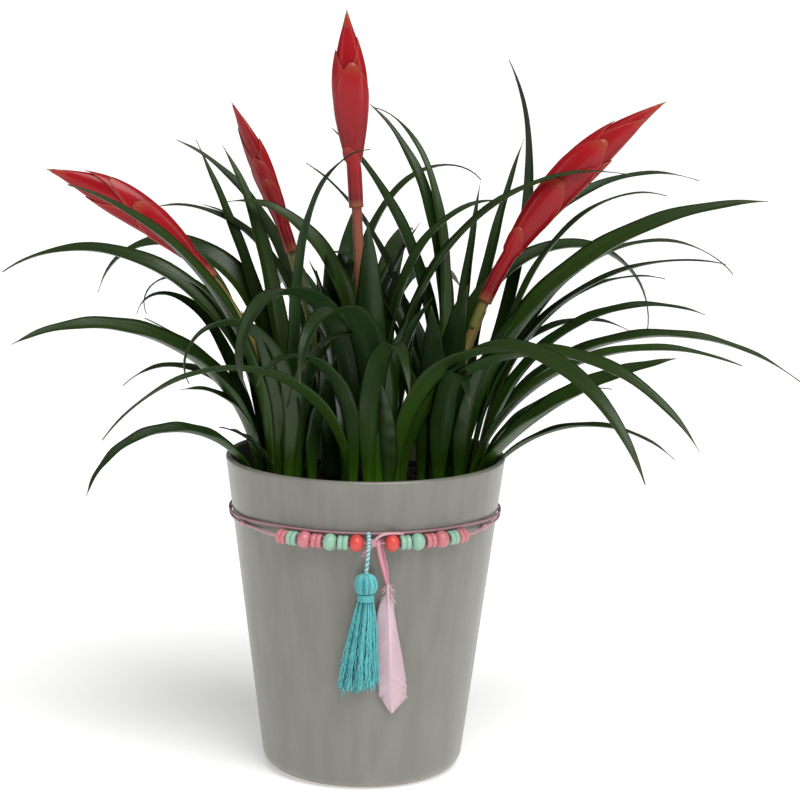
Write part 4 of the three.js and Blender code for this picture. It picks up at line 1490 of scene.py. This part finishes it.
def barbStrip(shape, path, width, shade):
    # A flat tapering filament that lies in the vane.
    rings = []
    strap = []
    last = len(path) - 1
    for i, (point, direction, _, _) in enumerate(pathFrames(path)):
        t = i / last
        flat = direction.cross(Vector((0, -1, 0))).normalized()
        size = width * (1 - 0.55 * t)
        thick = 0.06 * mm * (1 - 0.5 * t)
        out = flat.cross(direction)
        rings.append([point - flat * size, point + out * thick, point + flat * size, point - out * thick])
        strap.append([(0.5, t, shade)] * 4)
    shape.rings(rings, strap)


ribbonSettings = {
    "halfWidth": 1.15 * mm,
    "thickness": 0.32 * mm,
    "route": [(12.2, -71.9, 114.4), (10.1, -73.0, 123), (8.3, -74.4, 131), (7.9, -75.2, 135.2),
              (7.9, -74.4, 137.2), (8.3, -72.8, 137.4), (9.1, -72.2, 135.4), (9.6, -72.4, 131),
              (11.5, -72.0, 123), (12.8, -71.4, 114.4)],
}


def makeRibbon():
    # One strip, folded over the cord, whose ends meet on the quill.
    path = smoothPath([Vector(p) * mm for p in ribbonSettings["route"]], 9)
    across = Vector((1, 0.12, 0))
    shape = Shape()
    rings = []
    strap = []
    last = len(path) - 1
    for i, (point, direction, _, _) in enumerate(pathFrames(path)):
        share = i / last
        side = (across - direction * across.dot(direction)).normalized()
        out = direction.cross(side)
        gathered = mix(1.0, 0.62, smoothStep(abs(share - 0.5), 0.36, 0.5))
        ring = []
        places = []
        for face, order in ((1, range(7)), (-1, range(6, -1, -1))):
            for k in order:
                a = k / 3 - 1
                curl = 0.35 * mm * a * a
                place = point + side * (a * ribbonSettings["halfWidth"] * gathered)
                ring.append(place + out * (curl + face * ribbonSettings["thickness"] / 2))
                # The tone runs light and dark across and along the strip: a painted satin sheen.
                places.append(((a + 1) / 2, share, 0.45 + 0.4 * math.sin(3 * a + 5 * share)))
        rings.append(ring)
        strap.append(places)
    shape.rings(rings, strap)
    piece = shape.make("featherRibbon", [materials["ribbon"]])
    finishPiece(piece, "ribbon", "feather_ribbon")


makeFeather()
makeRibbon()
print("feather and ribbon made")


stageSettings = {
    "floorSize": 60.0,
    "floor": colour(250, 250, 249),
    "floorGlow": 0.36,
    "fillStrength": 0.18,
    "sun": {"strength": 2.6, "angle": 42, "tilt": (30, 16, 0)},  # a wide overhead softbox
    "softboxes": [
        ("leftSoftbox", (-1.3, -1.3, 0.9), (0.25, 1.6), 3.5),
        ("rightSoftbox", (1.4, -1.1, 0.9), (0.3, 1.6), 5.5),
    ],
}


def makeFloor():
    half = stageSettings["floorSize"] / 2
    corners = [(-half, -half, 0), (half, -half, 0), (half, half, 0), (-half, half, 0)]
    mesh = bpy.data.meshes.new("floor")
    mesh.from_pydata(corners, [], [(0, 1, 2, 3)])
    finish = Finish("paleFloor", Roughness=0.9)
    finish.shader.inputs["Base Color"].default_value = stageSettings["floor"]
    finish.shader.inputs["Emission Color"].default_value = stageSettings["floor"]
    finish.shader.inputs["Emission Strength"].default_value = stageSettings["floorGlow"]
    mesh.materials.append(finish.material)
    addObject("floor", mesh)


def makeWorld():
    # The backdrop shows white, and lights the plant more softly than it looks.
    world = bpy.data.worlds.new("studio")
    bpy.context.scene.world = world
    world.use_nodes = True
    tree = world.node_tree
    background = tree.nodes["Background"]
    background.inputs["Color"].default_value = (1, 1, 1, 1)
    rays = tree.nodes.new("ShaderNodeLightPath")
    strength = tree.nodes.new("ShaderNodeMapRange")
    strength.inputs["To Min"].default_value = stageSettings["fillStrength"]
    strength.inputs["To Max"].default_value = 1.0
    joinUp(tree, rays.outputs["Is Camera Ray"], strength.inputs["Value"])
    joinUp(tree, strength.outputs["Result"], background.inputs["Strength"])


def makeLights():
    data = bpy.data.lights.new("overhead", "SUN")
    data.energy = stageSettings["sun"]["strength"]
    data.angle = math.radians(stageSettings["sun"]["angle"])
    sun = addObject("overhead", data)
    sun.rotation_euler = [math.radians(angle) for angle in stageSettings["sun"]["tilt"]]
    for name, place, size, power in stageSettings["softboxes"]:
        data = bpy.data.lights.new(name, "AREA")
        data.shape = "RECTANGLE"
        data.size, data.size_y = size
        data.energy = power
        light = addObject(name, data)
        light.location = place
        aim = Vector((0, 0, 0.18)) - Vector(place)
        light.rotation_euler = aim.to_track_quat("-Z", "Y").to_euler()


makeFloor()
makeWorld()
makeLights()
bpy.context.scene.view_settings.view_transform = "Standard"

print("done")
